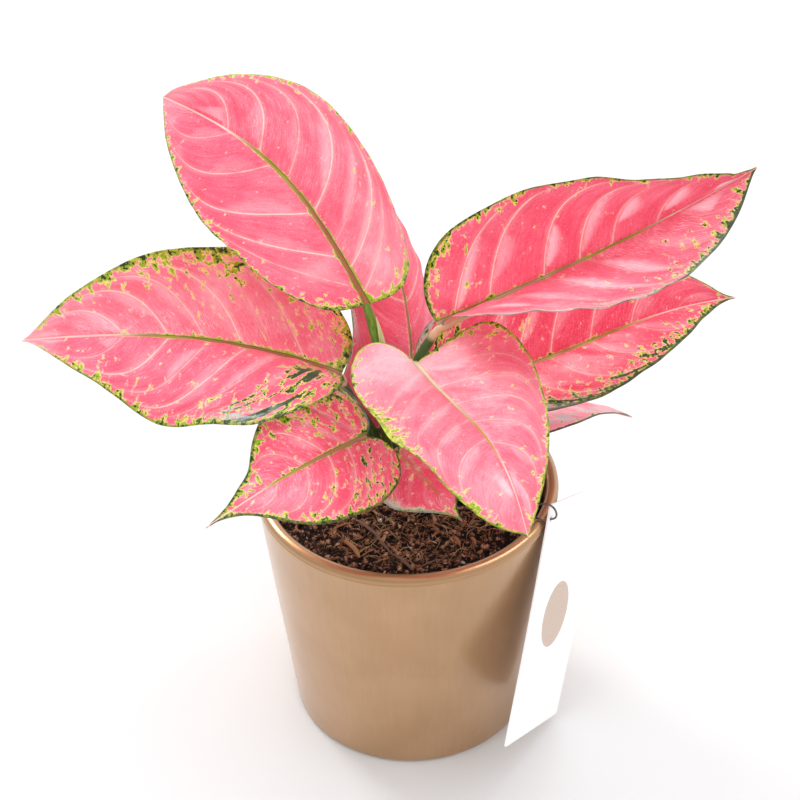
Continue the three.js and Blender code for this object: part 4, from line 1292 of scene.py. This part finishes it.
def lathe(profile, sides, wobble):
    """Points and faces of a solid of revolution whose profile starts and ends on the axis."""
    profile = np.array(profile, float)
    ring = profile[1:-1]
    angles = np.arange(sides) * 2 * np.pi / sides
    angle, radius = np.meshgrid(angles, ring[:, 0])
    uneven = 1 + wobble * np.sin(2 * angle + 1) + 0.5 * wobble * np.sin(5 * angle + ring[:, 1:2] * 0.03)
    height = np.repeat(ring[:, 1:2], sides, 1)
    points = np.stack([radius * uneven * np.cos(angle), radius * uneven * np.sin(angle), height], -1)
    ends = [[0, 0, profile[0, 1]], [0, 0, profile[-1, 1]]]
    return np.concatenate([points.reshape(-1, 3), ends]), tube_faces(len(ring), sides)


def make_pot(material):
    """The pot, turned round a profile that runs from its underside over the lip to its floor."""
    lip = (POT_RIM_RADIUS - POT_LIP_RADIUS, POT_HEIGHT - POT_LIP_RADIUS)
    foot = (wall_radius(POT_FOOT_ROUNDING) - POT_FOOT_ROUNDING, POT_FOOT_ROUNDING)
    groove = lip[1] - GROOVE_HEIGHT
    corner = POT_FLOOR + POT_INNER_ROUNDING
    profile = [(radius, 0) for radius in (0, 20, 40, 50)]
    profile += arc(foot, POT_FOOT_ROUNDING, -90, -5, 12)
    profile += [(wall_radius(z), z) for z in np.linspace(5, groove - 0.2, 26)]
    for z in np.linspace(groove + 0.1, lip[1] - 0.1, 9):
        depth = GROOVE_DEPTH * math.sin(math.pi * (z - groove) / GROOVE_HEIGHT) ** 2
        profile.append((wall_radius(z) - depth, z))
    profile += arc(lip, POT_LIP_RADIUS, 0, 180, 26)
    profile += [(wall_radius(z) - POT_WALL, z) for z in np.linspace(lip[1] - 3, corner, 20)]
    inner = wall_radius(POT_FLOOR) - POT_WALL - POT_INNER_ROUNDING
    profile += arc((inner, corner), POT_INNER_ROUNDING, -8, -90, 6)
    profile += [(20, POT_FLOOR), (0, POT_FLOOR)]
    points, faces = lathe(profile, POT_SIDES, POT_WOBBLE)
    piece = new_object("pot_body", points, faces, material, dict(lip=smooth(*LIP_GLAZE, points[:, 2])))
    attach(piece, "root")
    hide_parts("pot")


# Soil

def soil_roughness(x, y):
    return noise.fractal(Vector((x, y, 9)) * 0.34, 0.4, 2.2, 4)


def soil_height(x, y):
    """Height of the soil's surface: a low mound with lumps and crumbs."""
    radius = math.hypot(x, y) / SOIL_CROWN_RADIUS
    height = SOIL_TOP + SOIL_CROWN * (1 - radius * radius)
    lumps = noise.fractal(Vector((x, y, 3)) * 0.06, 0.8, 2.1, 3)
    return height + SOIL_LUMP * lumps + SOIL_CRUMB * soil_roughness(x, y) - SOIL_SINK


def ball(level):
    made = bmesh.new()
    bmesh.ops.create_icosphere(made, subdivisions=level, radius=1)
    points = np.array([v.co for v in made.verts])
    faces = [[v.index for v in f.verts] for f in made.faces]
    made.free()
    return points, faces


def lump(draw, form, size, flatness, length=1.0):
    """A small irregular closed form of about this size, made from a ball."""
    points, faces = form
    offset = draw.uniform(0, 50, 3)
    swell = np.array([noise.noise(Vector(p * 1.6 + offset)) + 0.7 * noise.noise(Vector(p * 4 - offset))
                      for p in points])
    scale = np.array((length, draw.uniform(0.4, 1), flatness * draw.uniform(0.5, 1.1)))
    points = points * (1 + 0.8 * swell)[:, None] * scale * size
    turn = Matrix.Rotation(draw.uniform(0, 6.28), 3, "Z") @ Matrix.Rotation(draw.uniform(-0.9, 0.9), 3, "X")
    return points @ np.array(turn).T, faces


def scattered(draw, radius):
    """A random place on the soil within this radius, clear of the cane."""
    while True:
        r, a = radius * math.sqrt(draw.uniform()), draw.uniform(0, 2 * math.pi)
        x, y = r * math.cos(a), r * math.sin(a)
        if math.hypot(x - CANE_X, y - CANE_Y) > CANE_RADIUS + 1:
            return x, y


def strand(start, end, radius, sides, steps, bow, lift):
    """A thin piece that lies on the soil from start to end, bowed sideways by a part of its length."""
    start, end = np.array(start, float), np.array(end, float)
    t = np.linspace(0, 1, steps)
    sideways = np.array((start[1] - end[1], end[0] - start[0]))
    flat = start + (end - start) * t[:, None] + sideways * bow * 4 * (t * (1 - t))[:, None]
    ground = np.array([soil_height(x, y) for x, y in flat])
    straight = ground[0] + (ground[-1] - ground[0]) * t
    height = 0.3 * ground + 0.7 * straight + 0.12 + lift * np.sin(np.pi * t)
    path = np.concatenate([flat, height[:, None]], 1)
    return swept(path, (0, 0, 1), lambda t, angle: radius * (1 - 0.7 * np.abs(2 * t - 1) ** 3), sides)[:2]


def make_ground(material, outer):
    """The soil's body, from the pot's floor to the crumbs of its top, with painted shade in their hollows."""
    points, lights = [], [0.2] * SOIL_SIDES
    for x, y in circle(wall_radius(POT_FLOOR) - POT_WALL - 5, SOIL_SIDES):
        points.append((x, y, POT_FLOOR + SOIL_FLOOR_GAP))
    for radius in np.linspace(0, 1, SOIL_RINGS)[:0:-1] * outer:
        drop = SOIL_EDGE_DROP * smooth(outer - 3, outer, radius)
        for x, y in circle(radius, SOIL_SIDES):
            points.append((x, y, soil_height(x, y) - drop))
            # Painted shade: darker where the crumbs' height is low, lighter on their tops
            lights.append(0.9 * smooth(-0.4, 0.9, soil_roughness(x, y)))
    points += [(0, 0, POT_FLOOR + SOIL_FLOOR_GAP), (0, 0, soil_height(0, 0))]
    ground = Parts(*SOIL_FIELDS)
    ground.add(points, tube_faces(SOIL_RINGS, SOIL_SIDES), light=lights + [0.2, 0.2])
    piece = ground.make("potting_soil", material)
    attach(piece, "root")
    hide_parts("soil")


def make_crumbs(material, outer, draw):
    """Crumbs, fibres and bits that lie on the soil."""
    parts = Parts(*SOIL_FIELDS)
    for level, count, low, high in CRUMBS:
        form = ball(level)
        for _ in range(count):
            size = draw.uniform(low, high) * (1 + draw.uniform() ** 3)
            points, faces = lump(draw, form, size, CRUMB_FLATNESS, draw.uniform(1.2, 3))
            x, y = scattered(draw, outer - 2.4)
            points = points + (x, y, soil_height(x, y) + 0.3 * size)
            parts.add(points, faces, light=1.3 * draw.uniform() ** 2.5, tone=0.9 * draw.uniform() ** 6)
    for _ in range(FIBRES):
        length, heading = draw.uniform(*FIBRE_LENGTHS), draw.uniform(0, 2 * math.pi)
        start = np.array(scattered(draw, FIBRE_REACH - length / 2))
        end = start + length * np.array((math.cos(heading), math.sin(heading)))
        radius, bow, lift = draw.uniform(*FIBRE_RADII), draw.uniform(-0.15, 0.15), draw.uniform(0.3, 1.4)
        points, faces = strand(start, end, radius, 4, 8, bow, lift)
        parts.add(points, faces, light=draw.uniform(0.3, 1), tone=0.9 * draw.uniform() ** 2)
    for start, end, radius, bow, tone, straw, twig in SOIL_BITS:
        points, faces = strand(start, end, radius, 9, 16, bow, 0.8)
        parts.add(points, faces, light=0.5, tone=tone, straw=straw, twig=twig)
    crumbs = parts.make("soil_crumbs", material)
    facet(crumbs)
    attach(crumbs, "root")


def make_perlite(material, draw):
    form = ball(4)
    parts = Parts()
    for x, y, size in PERLITE:
        points, faces = lump(draw, form, size, PERLITE_FLATNESS)
        parts.add(points + (x, y, soil_height(x, y) + 0.7), faces)
    grains = parts.make("perlite_grains", material)
    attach(grains, "root")


def make_soil():
    soil = soil_material()
    draw = np.random.default_rng(SEED)
    outer = wall_radius(SOIL_TOP) - POT_WALL - SOIL_GAP
    make_ground(soil, outer)
    make_crumbs(soil, outer, draw)
    make_perlite(perlite_material(), draw)


# Card tag on its wire

def card_axes():
    """Across to the right, up the left edge and out of the printed face."""
    facing, lean, hang = (math.radians(a) for a in (CARD_FACING, CARD_LEAN, CARD_HANG))
    right, away, above = np.eye(3)
    level, inward = turned(right, away, facing)
    upright, _ = turned(above, -inward, lean)
    across, up = turned(level, upright, hang)
    return across, up, np.cross(across, up)


def card_sheet():
    """The flat card, cut in small cells: its points, its cells and its border with the punched hole's."""
    w, h, r = CARD_WIDTH, CARD_HEIGHT, CARD_ROUNDING
    outline = arc((w - r, r - h), r, -90, 0, 8) + arc((w - r, -r), r, 0, 90, 8)
    outline += arc((r, -r), r, 90, 180, 8) + arc((r, r - h), r, 180, 270, 8)
    across, down, radius = CARD_HOLE
    made = bmesh.new()
    for loop in (outline, arc((across, -down), radius, 0, 345, 24)):
        corners = [made.verts.new((x, y, 0)) for x, y in loop]
        for a, b in zip(corners, corners[1:] + corners[:1]):
            made.edges.new((a, b))
    bmesh.ops.triangle_fill(made, edges=made.edges[:], use_beauty=True)
    for axis, end, step in ((0, w, CARD_CELL), (1, -h, -CARD_CELL)):
        for at in np.arange(step, end, step):
            place, normal = [0.0, 0.0, 0.0], [0.0, 0.0, 0.0]
            place[axis], normal[axis] = float(at), 1.0
            cut = made.verts[:] + made.edges[:] + made.faces[:]
            bmesh.ops.bisect_plane(made, geom=cut, plane_co=place, plane_no=normal)
    bmesh.ops.recalc_face_normals(made, faces=made.faces[:])
    if sum(f.normal.z for f in made.faces) < 0:
        bmesh.ops.reverse_faces(made, faces=made.faces[:])
    made.verts.index_update()
    points = np.array([v.co for v in made.verts])
    cells = [[v.index for v in f.verts] for f in made.faces]
    border = []
    for edge in made.edges:
        if len(edge.link_faces) == 1:
            loop = next(l for l in edge.link_faces[0].loops if l.edge == edge)
            border.append((loop.vert.index, loop.link_loop_next.vert.index))
    made.free()
    return points, cells, border


def make_card(material):
    """The card, a little bowed, with a bare disc of ink on its front."""
    sheet, cells, border = card_sheet()
    x, y = sheet[:, 0], sheet[:, 1]
    bow = CARD_BOW * np.sin(np.pi * (y + CARD_HEIGHT) / CARD_HEIGHT) * (0.6 + 0.4 * x / CARD_WIDTH)
    across, up, out = card_axes()
    middle = np.array(CARD_CORNER) + x[:, None] * across + y[:, None] * up
    middle = middle + (bow - CARD_SET_BACK)[:, None] * out
    count = len(sheet)
    points = np.concatenate([middle + out * CARD_THICKNESS / 2, middle - out * CARD_THICKNESS / 2])
    faces = cells + [[i + count for i in cell[::-1]] for cell in cells]
    faces += [[a, a + count, b + count, b] for a, b in border]
    disc = np.hypot(x - DISC_PLACE[0], y - DISC_PLACE[1])
    away = np.concatenate([disc, disc + NO_DISC])
    piece = new_object("card_tag", points, faces, material, dict(from_disc=away))
    facet(piece)
    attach(piece, "root")
    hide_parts("tag_card")


def make_wire(material):
    """The hook, a round wire on a smooth curve through its route."""
    turns = [(r, math.radians(a), z) for r, a, z in WIRE_ROUTE]
    route = np.array([(r * math.cos(a), r * math.sin(a), z) for r, a, z in turns])
    padded = np.concatenate([[2 * route[0] - route[1]], route, [2 * route[-1] - route[-2]]])
    path = []
    for i in range(len(route) - 1):
        p0, p1, p2, p3 = padded[i:i + 4]
        for t in np.arange(WIRE_STEPS) / WIRE_STEPS:
            path.append(0.5 * (2 * p1 + (p2 - p0) * t + (2 * p0 - 5 * p1 + 4 * p2 - p3) * t * t
                               + (3 * p1 - p0 - 3 * p2 + p3) * t ** 3))
    path.append(route[-1])
    tube = swept(np.array(path), (0, 0, 1), lambda t, angle: np.full_like(t, WIRE_RADIUS), WIRE_SIDES)
    piece = new_object("wire_hook", *tube[:2], material)
    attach(piece, "root")
    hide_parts("tag_wire")


# Floor and light

def make_floor():
    size = FLOOR_REACH
    corners = [(-size, -size, 0), (size, -size, 0), (size, size, 0), (-size, size, 0)]
    floor = new_object("floor", corners, [(0, 1, 2, 3)], floor_material())


def softbox(name, place, target, size, power, gloss_only):
    data = bpy.data.lights.new(name, "AREA")
    data.shape = "ELLIPSE"
    data.size, data.size_y = size[0] * MM, size[1] * MM
    data.energy = power
    light = in_scene(name, data)
    light.location = Vector(place) * MM
    light.rotation_euler = (Vector(target) - Vector(place)).to_track_quat("-Z", "Y").to_euler()
    light.visible_diffuse = not gloss_only
    light.visible_glossy = gloss_only


def make_light():
    """A bright room, brighter on one side, and the softboxes."""
    g = Graph("studio", "worlds")
    facing = g.node("ShaderNodeVectorMath", operation="DOT_PRODUCT")
    g.plug(facing.inputs[0], Value(g, g.node("ShaderNodeTexCoord").outputs["Generated"]))
    g.plug(facing.inputs[1], BRIGHT_SIDE)
    brightness = g.ramp(Value(g, facing.outputs["Value"]), *ROOM_RAMP)
    g.fill(g.tree.nodes["Background"], {"Color": (1, 1, 1), "Strength": brightness})
    bpy.context.scene.world = g.owner
    for box in SOFTBOXES:
        softbox(*box)
    view = bpy.context.scene.view_settings
    view.view_transform = "Standard"
    view.look = "None"


leaf_look = leaf_material()
for leaf_number, one_leaf in enumerate(LEAVES):
    make_leaf(one_leaf, leaf_number, leaf_look)
make_stems(stalk_material())
make_pot(bronze_material())
make_soil()
make_card(card_material())
make_wire(wire_material())
make_floor()
make_light()
